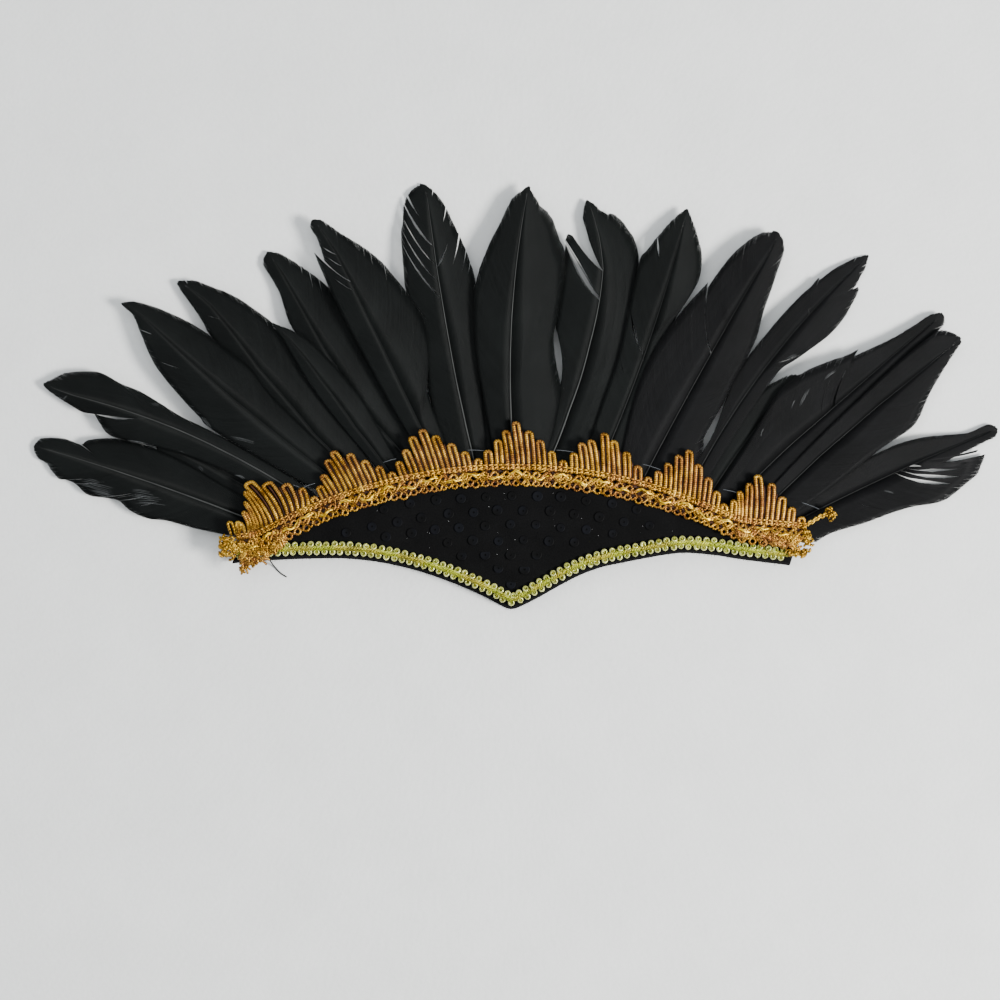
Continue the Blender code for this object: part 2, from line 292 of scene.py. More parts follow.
class Finish:
    """A material built node by node."""

    def __init__(self, name):
        self.material = bpy.data.materials.new(name)
        self.material.use_nodes = True
        self.tree = self.material.node_tree
        self.shader = self.tree.nodes["Principled BSDF"]

    def fill(self, socket, value):
        if isinstance(value, Sum):
            self.tree.links.new(value.socket, socket)
        else:
            socket.default_value = value

    def node(self, kind, settings=None, values=None, out=0):
        made = self.tree.nodes.new(kind)
        for key, value in (settings or {}).items():
            if key == "stops":
                ramp = made.color_ramp
                while len(ramp.elements) < len(value):
                    ramp.elements.new(0.5)
                for element, (place, colour) in zip(ramp.elements, value):
                    element.position = place
                    element.color = (*colour, 1)
            else:
                setattr(made, key, value)
        for key, value in (values or {}).items():
            self.fill(made.inputs[key], value)
        return Sum(self, made.outputs[out])

    def set(self, **values):
        for key, value in values.items():
            self.fill(self.shader.inputs[key.replace("_", " ")], value)

    def place(self):
        return self.node("ShaderNodeTexCoord", out="Object")

    def strip(self):
        """The piece's own map: across in x and along, in metres, in y."""
        return self.node("ShaderNodeUVMap", {"uv_map": "along"})

    def parts(self, vector):
        split = self.node("ShaderNodeSeparateXYZ", values={0: vector})
        return [Sum(self, output) for output in split.socket.node.outputs]

    def noise(self, scale, detail=2.0, vector=None, stretch=None, rough=0.5):
        vector = vector or self.place()
        if stretch:
            vector = self.node("ShaderNodeMapping", values={"Vector": vector, "Scale": stretch})
        values = {"Vector": vector, "Scale": scale, "Detail": detail, "Roughness": rough}
        return self.node("ShaderNodeTexNoise", values=values)

    def ramp(self, amount, *stops):
        return self.node("ShaderNodeValToRGB", {"stops": stops}, {"Fac": amount})

    def mix(self, amount, a, b, how="MIX"):
        settings = {"data_type": "RGBA", "blend_type": how}
        values = {0: amount, 6: a if isinstance(a, Sum) else (*a, 1), 7: b if isinstance(b, Sum) else (*b, 1)}
        return self.node("ShaderNodeMix", settings, values, out=2)

    def bump(self, height, distance, strength=1.0):
        return self.node("ShaderNodeBump", values={"Height": height, "Distance": distance, "Strength": strength})


def feather_finish(name, deep, sheen):
    """Dyed goose feather: nearly black, with a soft painted sheen in the base colour that changes from barb to barb."""
    finish = Finish(name)
    streak = finish.noise(1.0, 3.0, finish.strip(), (900.0, 25.0, 1.0))
    cloud = finish.noise(38.0, 2.0)
    # The ramp runs from the feather's own black to a lighter stop that is painted sheen.
    tone = finish.ramp(0.55 * streak + 0.45 * cloud, (0.38, deep), (0.66, sheen))
    finish.set(Base_Color=tone, Roughness=0.44 + 0.20 * streak, Specular_IOR_Level=0.18)
    finish.set(Normal=finish.bump(finish.noise(2600.0, 2.0), 0.00004, 0.5))
    return finish.material


def shaft_finish(name, deep, pale):
    finish = Finish(name)
    streak = finish.noise(1.0, 2.0, finish.strip(), (3.0, 60.0, 1.0))
    finish.set(Base_Color=finish.ramp(streak, (0.3, deep), (0.7, pale)), Roughness=0.5, Specular_IOR_Level=0.2)
    finish.set(Normal=finish.bump(streak, 0.0001))
    return finish.material


def gold_finish(name, dark, middle, light, metallic=0.75, wraps=6400.0, copper=None):
    """Metallic thread wound round a cord: fine turns with painted shade between them, painted glints, and patches of
    another gold.
    """
    finish = Finish(name)
    across, along, _ = finish.parts(finish.strip())
    turns = (along * wraps + across * (2 * math.pi)).sine() * 0.5 + 0.5
    patches = finish.noise(150.0, 3.0)
    glints = finish.noise(1500.0, 2.0, rough=0.65)
    # Painted light: the turns darken the colour between windings as painted shade, the glints are painted glints, and
    # the ramp's dark and light stops are painted shade and painted highlight.
    grain = 0.34 * patches + 0.12 * turns + 0.54 * glints
    tone = finish.ramp(grain, (0.36, dark), (0.50, middle), (0.64, light))
    if copper:
        other = finish.ramp(grain, (0.36, dark), (0.50, copper), (0.66, light))
        tone = finish.mix(finish.ramp(finish.noise(95.0, 2.0), (0.46, (0, 0, 0)), (0.56, (1, 1, 1))), tone, other)
    finish.set(Base_Color=tone, Roughness=0.24 + 0.34 * glints, Metallic=metallic)
    finish.set(Normal=finish.bump(0.25 * turns + glints, 0.00018, 0.9))
    return finish.material


def bead_finish():
    """Pearly lime-gold glass: pale at the rim as a painted highlight, darker olive towards the hole as painted shade.
    """
    finish = Finish("lime_gold_bead")
    rim, own, _ = finish.parts(finish.strip())
    patches = finish.noise(420.0, 2.0)
    # Painted light: the colour runs from painted shade at the hole to a painted highlight at the rim.
    shade = 0.72 * rim + 0.16 * patches + 0.12 * own
    tone = finish.ramp(shade, (0.08, (0.05, 0.058, 0.003)), (0.44, (0.26, 0.28, 0.022)), (0.78, (0.66, 0.67, 0.24)))
    finish.set(Base_Color=tone, Roughness=0.14 + 0.14 * patches, Metallic=0.30)
    finish.set(Coat_Weight=0.6, Coat_Roughness=0.08)
    finish.set(Normal=finish.bump(finish.noise(900.0, 2.0), 0.00006, 0.5))
    return finish.material


def cloth_finish():
    """Black velvety knit with a fine pile."""
    finish = Finish("black_panel_cloth")
    pile = finish.noise(1500.0, 3.0)
    patches = finish.noise(60.0, 2.0)
    weave = finish.node("ShaderNodeTexWave", {"wave_type": "BANDS"}, {"Scale": 420.0, "Distortion": 3.0, "Detail": 1.0})
    tone = finish.ramp(0.6 * pile + 0.4 * patches, (0.35, (0.0010, 0.0010, 0.0011)), (0.68, (0.0040, 0.0040, 0.0042)))
    finish.set(Base_Color=tone, Roughness=0.82 + 0.12 * pile, Specular_IOR_Level=0.09)
    finish.set(Normal=finish.bump(0.7 * pile + 0.3 * weave, 0.00025, 0.7))
    return finish.material


def felt_finish():
    """Black felt: matted fibres."""
    finish = Finish("black_felt_pile")
    fibres = finish.noise(700.0, 4.0, rough=0.7)
    fine = finish.noise(2600.0, 2.0)
    tone = finish.ramp(0.6 * fibres + 0.4 * fine, (0.35, (0.0016, 0.0016, 0.0018)), (0.7, (0.0080, 0.0080, 0.0085)))
    finish.set(Base_Color=tone, Roughness=0.95, Specular_IOR_Level=0.2)
    finish.set(Normal=finish.bump(0.6 * fibres + 0.4 * fine, 0.0004, 0.8))
    return finish.material


def sequin_finish():
    """Thin black foil discs with a cool shine painted into the base colour in bluish patches."""
    finish = Finish("black_sequin")
    patches = finish.noise(110.0, 1.0)
    # The bluish stop is a painted cool shine.
    tone = finish.ramp(patches, (0.44, (0.0008, 0.0008, 0.0009)), (0.66, (0.0026, 0.0030, 0.0046)))
    finish.set(Base_Color=tone, Roughness=0.50 + 0.20 * patches, Specular_IOR_Level=0.07)
    finish.set(Normal=finish.bump(finish.noise(900.0, 1.0), 0.00005, 0.5))
    return finish.material


def dust_finish():
    finish = Finish("pale_dust")
    patches = finish.noise(900.0, 2.0)
    finish.set(Base_Color=finish.ramp(patches, (0.3, (0.25, 0.25, 0.26)), (0.7, (0.65, 0.66, 0.66))), Roughness=0.9)
    return finish.material


def thread_finish(name, colour, shade, roughness):
    finish = Finish(name)
    fibre = finish.noise(1.0, 2.0, finish.strip(), (4.0, 900.0, 1.0))
    finish.set(Base_Color=finish.ramp(fibre, (0.35, shade), (0.65, colour)), Roughness=roughness)
    finish.set(Normal=finish.bump(fibre, 0.00003))
    return finish.material


def floor_finish():
    """Pale paper, lightly creased, with painted shade and light that follow the crease pattern."""
    finish = Finish("pale_paper")
    creases_and_shade = finish.noise(26.0, 5.0, rough=0.6)
    grain = finish.noise(420.0, 2.0)
    # The colour darkens and lightens with the crease noise that also shapes the bump: painted shade and light.
    tone = finish.ramp(0.7 * creases_and_shade + 0.3 * grain, (0.30, (0.80, 0.81, 0.80)), (0.70, (0.88, 0.89, 0.88)))
    finish.set(Base_Color=tone, Roughness=0.88)
    finish.set(Normal=finish.bump(0.8 * creases_and_shade + 0.2 * grain, 0.0012, 0.6))
    return finish.material


# ---------- camera, light and floor ----------

VIEW_LENS = 85
VIEW_DISTANCE = 1.182
VIEW_ELEVATION = math.radians(88)
VIEW_CENTRE = Vector((-0.0081, -0.0524, 0.008))


def set_camera():
    lens = bpy.data.cameras.new("view")
    lens.lens = VIEW_LENS
    lens.sensor_width = 36
    camera = bpy.data.objects.new("view", lens)
    bpy.context.collection.objects.link(camera)
    back = Vector((0, -math.cos(VIEW_ELEVATION), math.sin(VIEW_ELEVATION)))
    camera.location = VIEW_CENTRE + back * VIEW_DISTANCE
    camera.rotation_euler = (-back).to_track_quat("-Z", "Y").to_euler()
    lens.clip_start = 0.01
    bpy.context.scene.camera = camera


def add_light(name, place, aim, size, power, colour=(1, 1, 1)):
    lamp = bpy.data.lights.new(name, "AREA")
    lamp.size = size
    lamp.energy = power
    lamp.color = colour
    holder = bpy.data.objects.new(name, lamp)
    bpy.context.collection.objects.link(holder)
    holder.location = place
    holder.rotation_euler = (Vector(aim) - Vector(place)).to_track_quat("-Z", "Y").to_euler()


def set_room():
    world = bpy.data.worlds.new("studio")
    bpy.context.scene.world = world
    world.use_nodes = True
    world.node_tree.nodes["Background"].inputs["Color"].default_value = (0.93, 0.97, 1.0, 1)
    world.node_tree.nodes["Background"].inputs["Strength"].default_value = 0.62
    add_light("soft_window", (1.5, -0.5, 1.3), (0, 0, 0), 0.55, 84, (1.0, 0.99, 0.96))
    add_light("ceiling", (-0.4, 0.5, 2.2), (0, 0, 0), 2.2, 24, (0.95, 0.98, 1.0))
    bpy.ops.object.select_all(action="DESELECT")
    bpy.ops.mesh.primitive_plane_add(size=6, location=(0, 0, 0))
    floor = bpy.context.object
    floor.name = "floor"
    floor.data.materials.append(floor_finish())


set_camera()
set_room()


# ---------- feathers ----------

FEATHER_LENGTH = 0.140
VANE_WIDTH = 0.020
ROOT_DEPTH = 0.020
LAYER_PITCH = 0.00095
LAYER_SPREAD = 0.0014
VANE_DROOP = 0.00045
BARB_SPACING = 0.00066
BARB_PIECES = 5
BARB_THICKNESS = 0.00016
SLIT_REACH = 0.0035

# Each feather: place along the arch, heading, bend, length share, left and right width, and its layer.
FEATHERS = {
    "feather_left_1": (-0.88, -68, -6, 0.86, 0.80, 0.80, 1),
    "feather_left_2": (-0.70, -56, -20, 1.04, 0.78, 0.58, 2),
    "feather_left_3": (-0.57, -53, 5, 1.04, 0.90, 0.90, 3),
    "feather_left_4": (-0.49, -38, -11, 0.98, 0.65, 0.82, 1),
    "feather_left_5": (-0.41, -28, -20, 0.69, 0.50, 0.58, 2),
    "feather_left_6": (-0.32, -36, 3, 0.94, 0.55, 0.78, 0),
    "feather_left_7": (-0.24, -24, -7, 0.99, 0.55, 1.10, 3),
    "feather_middle_1": (-0.125, -13, 4, 1.01, 0.83, 0.93, 1),
    "feather_middle_2": (0.01, -5, 16, 0.98, 0.88, 1.15, 3),
    "feather_middle_3": (0.15, 26, -38, 0.97, 0.85, 0.95, 1),
    "feather_middle_4": (0.30, 24, -10, 0.98, 0.80, 0.75, 2),
    "feather_right_1": (0.45, 27, 4, 1.00, 1.00, 0.85, 3),
    "feather_right_2": (0.61, 27, 21, 1.06, 0.52, 0.68, 1),
    "feather_right_3": (0.745, 43, 7, 1.03, 0.55, 0.60, 2),
    "feather_right_4": (0.93, 48, 0, 0.94, 0.55, 0.85, 3),
    "feather_right_5": (1.055, 63, 5, 0.77, 0.60, 1.10, 1),
    "feather_back_1": (-0.79, -55, -14, 0.54, 0.60, 0.60, 0),
    "feather_back_2": (-0.05, -5, 0, 0.58, 0.65, 0.65, 0),
    "feather_back_3": (0.235, 9, 0, 0.56, 0.60, 0.60, 0),
    "feather_back_4": (0.68, 32, 10, 0.56, 0.60, 0.60, 0),
    "feather_back_5": (0.842, 40, 4, 0.74, 0.55, 0.60, 1),
}

# The edge of each vane from the band to the tip: share of the length and millimetres out from the middle line, and
# where the barbs fan unusually the share at which their roots sit. None parts two locks. The third row is how far
# the shaft strays from the middle line, in millimetres to the right.
VANES = {
    "feather_left_1": (
        [(0, 9), (0.127, 11.8), (0.264, 14.3), (0.378, 15.4), (0.457, 17.6), (0.541, 16.9), (0.60, 13.9),
         (0.655, 14.6), (0.734, 15.9), (0.80, 12.6), (0.845, 12.0), (0.883, 12.3), (0.951, 6.8), (0.985, 5.6),
         (1.008, 3.4), (1.020, 0.6)],
        [(0, 7), (0.2, 11), (0.4, 15.5), (0.593, 17.0), (0.707, 15.2), (0.80, 10.8), (0.828, 7.4), (0.895, 7.9),
         (0.941, 6.9), (0.985, 5.4), (1.010, 3.3), (1.020, 0)],
        [(0, 0), (1, 0)],
    ),
    "feather_left_2": (
        [(0, 5), (0.2, 8), (0.4, 10), (0.55, 12.5), (0.66, 15.0), (0.738, 15.6), (0.783, 11.6), (0.812, 8.0, 0.585),
         None, (0.808, 7.4, 0.62), (0.838, 8.6, 0.66), (0.865, 8.7, 0.72), (0.906, 7.1, 0.79), (0.959, 4.9, 0.88),
         (1.000, 2.6, 0.95), (1.016, 0.8, 0.985)],
        [(0, 5), (0.2, 5.5), (0.411, 5.9), (0.528, 6.4), (0.610, 8.4), (0.689, 10.4), (0.762, 10.9), (0.832, 12.9),
         (0.883, 11.7), (0.954, 7.8), (0.988, 3.8), (1.012, 0.8)],
        [(0, 0), (0.5, -0.4), (0.9, -2.0), (1, -1.2)],
    ),
    "feather_left_3": (
        [(0, 8), (0.2, 13), (0.478, 18.6), (0.541, 17.8), (0.631, 16.3), (0.767, 12.7), (0.881, 5.6), (0.929, 2.0),
         (0.965, 1.0), (1.004, 1.0)],
        [(0, 8), (0.333, 12.5), (0.431, 14.5), (0.533, 17.8), (0.645, 17.0), (0.710, 16.9), (0.792, 14.9),
         (0.882, 11.1), (0.954, 6.9), (0.982, 4.6), (1.006, 0.2)],
        [(0, 0), (0.5, 0), (0.85, 1.4), (0.95, 1.9), (1, 0.5)],
    ),
    "feather_left_4": (
        [(0, 8), (0.3, 12), (0.6, 12.6), (0.784, 9.9), (0.843, 7.6), (0.912, 5.2), (0.976, 3.4), (1.006, 2.6),
         (1.020, 1.4)],
        [(0, 6), (0.3, 11), (0.520, 15.1), (0.585, 16.8), (0.657, 16.8), (0.747, 15.2), (0.833, 13.0), (0.929, 8.2),
         (0.970, 6.0), (0.990, 3.9), (1.014, 1.2)],
        [(0, -3), (0.25, -6.0), (0.57, -4.2), (0.86, 1.4), (1, 0.6)],
    ),
    "feather_left_5": (
        [(0, 4), (0.3, 8), (0.5, 9), (0.65, 8.0), (0.770, 5.8), (0.842, 4.0), (0.917, 2.2), (0.97, 1.2), (1.003, 0.4)],
        [(0, 6), (0.186, 6.5), (0.435, 8.0), (0.559, 7.6), (0.680, 7.3), (0.825, 6.4), (0.90, 4.2), (0.96, 1.8),
         (1.000, 0.3)],
        [(0, 0), (0.3, -3), (0.6, -2.4), (0.9, 0), (1, 0)],
    ),
    "feather_left_6": (
        [(0, 7), (0.3, 11), (0.55, 12.0), (0.718, 10.9), (0.761, 10.0), (0.854, 6.6), (0.92, 5.9), (0.965, 6.0),
         (0.992, 5.2), (1.010, 3.2), (1.018, 0.5)],
        [(0, 6), (0.3, 11), (0.55, 15.5), (0.70, 16.4), (0.760, 15.8), (0.811, 14.2), (0.890, 10.6), (0.965, 6.3),
         (1.000, 3.6), (1.018, 0.5)],
        [(0, 0), (0.3, -4.5), (0.6, -3), (0.9, 0), (1, 0)],
    ),
    "feather_left_7": (
        [(0, 6), (0.3, 10), (0.6, 11), (0.747, 10.2), (0.80, 9.4), (0.849, 8.8), (0.899, 7.8, 0.735), None,
         (0.855, 5.4, 0.745), (0.90, 3.9), (0.945, 2.9), (0.975, 3.1), (0.996, 2.6), (1.008, 0.4)],
        [(0, 7), (0.231, 9), (0.307, 13.0), (0.386, 19), (0.453, 22.6), (0.544, 24.1), (0.633, 22.6), (0.687, 21.2),
         (0.757, 19.2), (0.841, 14.2), (0.915, 8.7), (0.965, 5.8), (0.992, 3.8), (1.006, 1.0)],
        [(0, -1), (0.3, -1), (0.6, 0), (0.85, 1.8), (1, 0.8)],
    ),
    "feather_middle_1": (
        [(0, 12), (0.15, 15), (0.30, 14.5), (0.426, 13.2), (0.55, 14.8), (0.656, 16.2), (0.727, 15.4), (0.84, 13.8), (0.88, 12.5),
         (0.922, 11.0), (0.955, 9.8), (0.985, 7.4), (1.007, 4.2), (1.018, 0.3)],
        [(0, 7), (0.3, 13), (0.5, 18), (0.628, 19.3), (0.719, 18.0), (0.777, 16.4), (0.851, 13.6), (0.907, 11.4),
         (0.955, 8.8), (0.988, 5.8), (1.010, 2.8), (1.018, 0.4)],
        [(0, 0), (0.3, 0), (0.7, 1.2), (0.95, 2.4), (1, 2)],
    ),
    "feather_middle_2": (
        [(0, 9), (0.2, 13), (0.4, 17.5), (0.575, 19.6), (0.669, 18.8), (0.789, 14.5), (0.855, 11.3), (0.925, 8.9),
         (0.955, 7.4), (0.985, 4.6), (1.006, 1.8), (1.016, 0)],
        [(0, 16), (0.12, 22), (0.233, 25.4), (0.275, 25.2), (0.366, 22.8), (0.458, 21.4), (0.52, 22.6), (0.65, 24.2), (0.73, 24.3),
         (0.796, 23.0), (0.832, 20.1), (0.880, 17.0), (0.919, 13.8), (0.954, 7.8), (0.985, 3.8), (1.010, 1.0)],
        [(0, 0), (1, 0)],
    ),
    "feather_middle_3": (
        [(0, 12, -0.1), (0.2, 13.0, 0.06), (0.286, 11.4, 0.14), (0.38, 13.4, 0.22), (0.471, 17.4, 0.29), (0.53, 19.4, 0.34),
         (0.68, 18, 0.46), (0.78, 16, 0.55), (0.85, 14.2, 0.62), None, (0.860, 14.4, 0.634), (0.886, 12.6, 0.68),
         (0.878, 10.4, 0.728), None,
         (0.855, 2.4, 0.735), (0.90, 3.2, 0.79), (0.935, 3.9, 0.84), (0.958, 3.3, 0.88), (0.980, 2.2, 0.93),
         (1.004, 0.3, 0.98)],
        [(0, 9), (0.2, 13.5), (0.4, 17.5), (0.6, 20.5), (0.766, 21.9), (0.836, 20.8), (0.884, 17.7), (0.915, 14.8),
         (0.938, 11.6), (0.944, 8.8), (0.956, 6.2), (0.978, 4.2), (1.000, 1.2)],
        [(0, -3), (0.2, -3.4), (0.45, -1.2), (0.64, 2.0), (0.74, 3.6), (0.86, 3.0), (1, 0.8)],
    ),
    "feather_middle_4": (
        [(0, 9), (0.2, 11), (0.337, 11.5), (0.455, 12.5), (0.545, 14.0), (0.663, 15.6), (0.781, 16.7), (0.822, 14.5),
         (0.880, 11.4), (0.934, 8.0), (0.977, 4.6), (1.0, 2.2), (1.012, 0.4)],
        [(0, 7), (0.2, 8), (0.4, 8.5), (0.584, 8.8), (0.648, 10.6), (0.714, 13.2), (0.778, 14.8), (0.841, 13.5),
         (0.900, 10.3), (0.966, 4.9), (0.998, 1.8), (1.010, 0.3)],
        [(0, 0), (1, 0)],
    ),
    "feather_right_1": (
        [(0, 13), (0.15, 19), (0.279, 23.0), (0.405, 24.5), (0.512, 23.6), (0.622, 21.0), (0.69, 18.8),
         (0.724, 17.6, 0.50), None, (0.705, 16.4, 0.51), (0.785, 15.6, 0.61), (0.860, 13.9), (0.924, 11.0),
         (0.973, 7.6), (1.0, 4.2), (1.012, 1.2)],
        [(0, 17), (0.1, 20), (0.19, 20.6), (0.236, 18.2), (0.391, 18.6), (0.475, 18.0), (0.547, 18.2), (0.639, 17.3), (0.726, 14.2),
         (0.803, 12.3), (0.890, 9.8), (0.95, 8.2), (0.985, 5.8), (1.005, 3.2), (1.013, 0.8)],
        [(0, 0.5), (0.5, 1.2), (0.9, 1.6), (1, 1)],
    ),
    "feather_right_2": (
        [(0, 4), (0.1, 3.6), (0.206, 3.0), (0.329, 6.8), (0.412, 9.5), (0.518, 10.2), (0.675, 10.1), (0.759, 9.8),
         (0.805, 9.1), (0.846, 9.4, 0.73), (0.850, 8.2, 0.736), (0.902, 7.2), (0.95, 5.5), (0.978, 4.3),
         (1.005, 2.6), (1.026, 0.6)],
        [(0, 6), (0.3, 7), (0.486, 6.6), (0.535, 7.2), (0.600, 10.4), (0.716, 14.2), (0.800, 14.3), (0.869, 12.0),
         (0.915, 9.6, 0.79), (0.922, 8.2, 0.80), None, (0.900, 7.2, 0.802), (0.93, 6.4, 0.845), (0.960, 5.1, 0.89), (0.990, 3.6, 0.94),
         (1.015, 1.6, 0.97), (1.024, 0.2, 0.985)],
        [(0, 0), (1, 0)],
    ),
    "feather_right_3": (
        [(0, 8), (0.2, 13), (0.33, 18), (0.42, 21.0), (0.513, 19.6), (0.59, 16.0), (0.664, 11.4), (0.716, 9.0, 0.50),
         None, (0.690, 7.9, 0.52), (0.738, 5.8), (0.797, 3.2), (0.86, 1.0), (0.925, -0.4), (0.985, -1.4),
         (1.012, -3.0), (1.028, -5.0)],
        [(0, 8), (0.2, 11), (0.4, 13), (0.6, 13.6), (0.8, 13.4), (0.9, 12.4), (0.975, 10.8), (1.010, 10.0),
         (1.026, 8.0), (1.030, 5.8)],
        [(0, 1), (0.29, 2.1), (0.47, 3.7), (0.66, 4.7), (0.85, 5.1), (1, 5.4)],
    ),
    "feather_right_4": (
        [(0, 8), (0.3, 11), (0.55, 12), (0.8, 12.2), (0.93, 11.3), (0.969, 10.5), (0.988, 8.6), (1.004, 5.0),
         (1.014, 1.5)],
        [(0, 8), (0.3, 12), (0.463, 13.6), (0.553, 14.9), (0.628, 16.5), (0.691, 15.3), (0.782, 9.8), (0.880, 5.9),
         (0.968, 2.8), (1.0, 1.8), (1.012, 0.4)],
        [(0, -3), (0.3, -4), (0.6, -3), (0.9, -0.6), (1, 0)],
    ),
    "feather_right_5": (
        [(0, 8), (0.3, 12), (0.455, 12.7), (0.572, 12.5), (0.683, 10.6), (0.773, 7.5), (0.882, 3.9), (0.951, 3.9),
         (0.99, 4.0), (1.015, 2.6), (1.029, 0.4)],
        [(0.02, 14.2, -0.1), (0.106, 13.8, 0.0), (0.272, 16.6, 0.13), (0.405, 17.9, 0.24), (0.504, 19.4, 0.32),
         (0.60, 22.2, 0.39), (0.66, 23.0, 0.43), (0.70, 22.3, 0.455), (0.789, 19.5, 0.49), (0.849, 17.7, 0.52),
         (0.880, 15.0, 0.54), (0.905, 12.4, 0.552), (0.922, 10.0, 0.560), None, (0.790, 9.9, 0.592), (0.800, 9.2, 0.598), None, (0.822, 10.2, 0.604),
         (0.830, 9.6, 0.610), None, (0.862, 10.4, 0.618), (0.872, 9.7, 0.625), None, (0.893, 7.0, 0.636),
         (0.900, 6.4, 0.642), None, (0.700, 5.2, 0.60), (0.745, 5.4, 0.66), (0.80, 4.9, 0.72), (0.85, 4.6, 0.78),
         (0.90, 4.4, 0.83),
         (0.95, 4.2, 0.89), (0.99, 3.9, 0.94), (1.015, 2.6, 0.97), (1.029, 0.6, 0.985)],
        [(0, 0), (1, 0)],
    ),
}

# Where barbs have come apart: side (-1 left, 1 right), share of the length at the vane's edge, from where to where
# along the barb, and how wide in millimetres. One that reaches 1 is open at the edge.
SLITS = {
    "feather_left_1": [(-1, 0.800, 0.55, 0.96, 0.9), (-1, 0.845, 0.60, 0.95, 0.8), (-1, 0.690, 0.45, 0.90, 0.9),
                       (-1, 0.655, 0.50, 0.88, 0.7), (-1, 0.600, 0.40, 0.92, 0.8), (-1, 0.560, 0.45, 0.80, 0.6),
                       (1, 0.828, 0.5, 1, 0.8)],
    "feather_left_2": [(-1, 0.812, -0.10, 0.96, 5.0), (1, 0.62, 0.7, 1, 0.5)],
    "feather_left_3": [(-1, 0.900, 0.40, 0.95, 0.5), (-1, 0.800, 0.45, 0.85, 0.45)],
    "feather_left_4": [(-1, 0.900, 0.10, 0.50, 0.5), (1, 1.000, 0.55, 1, 0.7), (1, 0.955, 0.75, 1, 0.5)],
    "feather_left_6": [(1, 0.860, 0.60, 1, 0.6), (1, 0.815, 0.70, 1, 0.6), (1, 0.900, 0.75, 1, 0.4)],
    "feather_left_7": [(-1, 0.915, 0.05, 0.75, 0.7), (-1, 0.885, 0.05, 0.70, 0.6), (-1, 0.849, 0.10, 0.60, 0.6)],
    "feather_middle_1": [(-1, 0.982, 0.45, 1, 1.2), (-1, 0.952, 0.00, 1.1, 1.9), (-1, 0.905, 0.05, 0.95, 1.3),
                         (-1, 0.865, 0.08, 0.90, 1.3), (-1, 0.815, 0.00, 0.92, 1.8), (-1, 0.640, 0.50, 0.95, 0.9),
                         (1, 0.860, 0.02, 0.45, 1.6), (1, 0.915, 0.60, 1, 1.2), (1, 0.805, 0.50, 1, 1.4),
                         (1, 0.745, 0.70, 1, 1.0), (1, 0.985, 0.5, 1, 0.5), (1, 0.700, 0.75, 1, 0.6)],
    "feather_middle_3": [(-1, 0.850, 0.05, 1.08, 5.0)],
    "feather_middle_4": [(-1, 0.600, 0.12, 0.90, 2.8), (-1, 0.420, 0.40, 0.90, 0.6), (-1, 0.880, 0.70, 0.98, 1.8)],
    "feather_right_1": [(-1, 0.705, 0.5, 1, 0.6)],
    "feather_right_2": [(1, 0.640, 0.2, 0.7, 0.4), (-1, 0.990, 0.6, 1, 0.5), (1, 1.000, 0.5, 1, 0.5),
                        (1, 0.975, 0.6, 1, 0.4)],
    "feather_right_3": [(-1, 0.640, 0.10, 0.45, 0.4)],
    "feather_right_5": [(1, 0.488, 0.14, 0.78, 2.6, "root"), (1, 0.516, 0.16, 0.76, 2.6, "root"), (1, 0.541, 0.18, 0.66, 2.0, "root"),
                        (1, 0.405, 0.35, 0.60, 0.4), (-1, 0.960, 0.7, 1, 0.4)],
}

# A short feather of the back row, as shares of its width.
SHORT_VANE = [(0, 0.45), (0.15, 0.75), (0.35, 0.98), (0.55, 1.0), (0.75, 0.82), (0.88, 0.55), (0.96, 0.3), (1.0, 0.03)]


class Shaft:
    """The gently curved middle line of one feather."""

    def __init__(self, name):
        at, heading, bend, length, left, right, layer = FEATHERS[name]
        self.length = length * FEATHER_LENGTH
        self.heading, self.bend = math.radians(heading), math.radians(bend)
        self.start = arch(at * HALF_BAND, EDGE_ABOVE_LACE)
        self.layer = layer
        if name in VANES:
            left_rows, right_rows, stray = VANES[name]
        else:
            left_rows, right_rows = ([(a, w * side * VANE_WIDTH * 1000) for a, w in SHORT_VANE] for side in (left, right))
            stray = [(0, 0), (1, 0)]
        # Both vanes close over the tip, a little past each other.
        end, middle = max(left_rows[-1][0], right_rows[-1][0]), (right_rows[-1][1] - left_rows[-1][1]) / 2
        self.rows = {-1: [*left_rows, (end, -middle - 0.3)], 1: [*right_rows, (end, middle - 0.3)]}
        self.stray_at = np.array([row[0] for row in stray])
        self.stray_out = np.array([row[1] for row in stray]) * 0.001

    def at(self, along, out=0.0):
        """Flat places at shares of the length, at distances out to the right."""
        run = along * self.length
        turned = self.bend * np.maximum(0, along)
        towards = self.heading + turned
        safe = np.where(np.abs(turned) > 1e-6, turned, 1e-6)
        chord = run * np.sin(safe / 2) / (safe / 2)
        x = self.start[0] + chord * np.sin(towards - turned / 2) + out * np.cos(towards)
        y = self.start[1] + chord * np.cos(towards - turned / 2) - out * np.sin(towards)
        return x, y

    def stray(self, along):
        """How far the shaft itself lies to the right of the middle line."""
        return np.interp(along, self.stray_at, self.stray_out)

    def height(self, along):
        return FEATHERS_FROM + self.layer * (LAYER_PITCH + LAYER_SPREAD * along**2)

    def locks(self, side):
        """The vane's locks: for each, the tips and the roots of its barbs."""
        made, rows = [], []
        for row in [*self.rows[side], None]:
            if row is not None:
                rows.append(row)
                continue
            tips = np.array([(a * self.length, w * 0.001) for a, w, *_ in rows])
            given = []
            for a, w, *root in rows:
                away = max(abs(side * w * 0.001 - self.stray(a)), 0.0012)
                lean = 1.25 + 0.75 * float(smooth(a, 0.45, 0.85))
                given.append(root[0] if root else a - max(lean * away, 0.004) / self.length)
            line = flow(np.column_stack([tips, np.array(given) * self.length]), BARB_SPACING)
            roots = np.clip(np.maximum.accumulate(line[:, 2] / self.length), -0.12, 0.985)
            made.append((line[:, 0] / self.length, line[:, 1], roots))
            rows = []
        return made


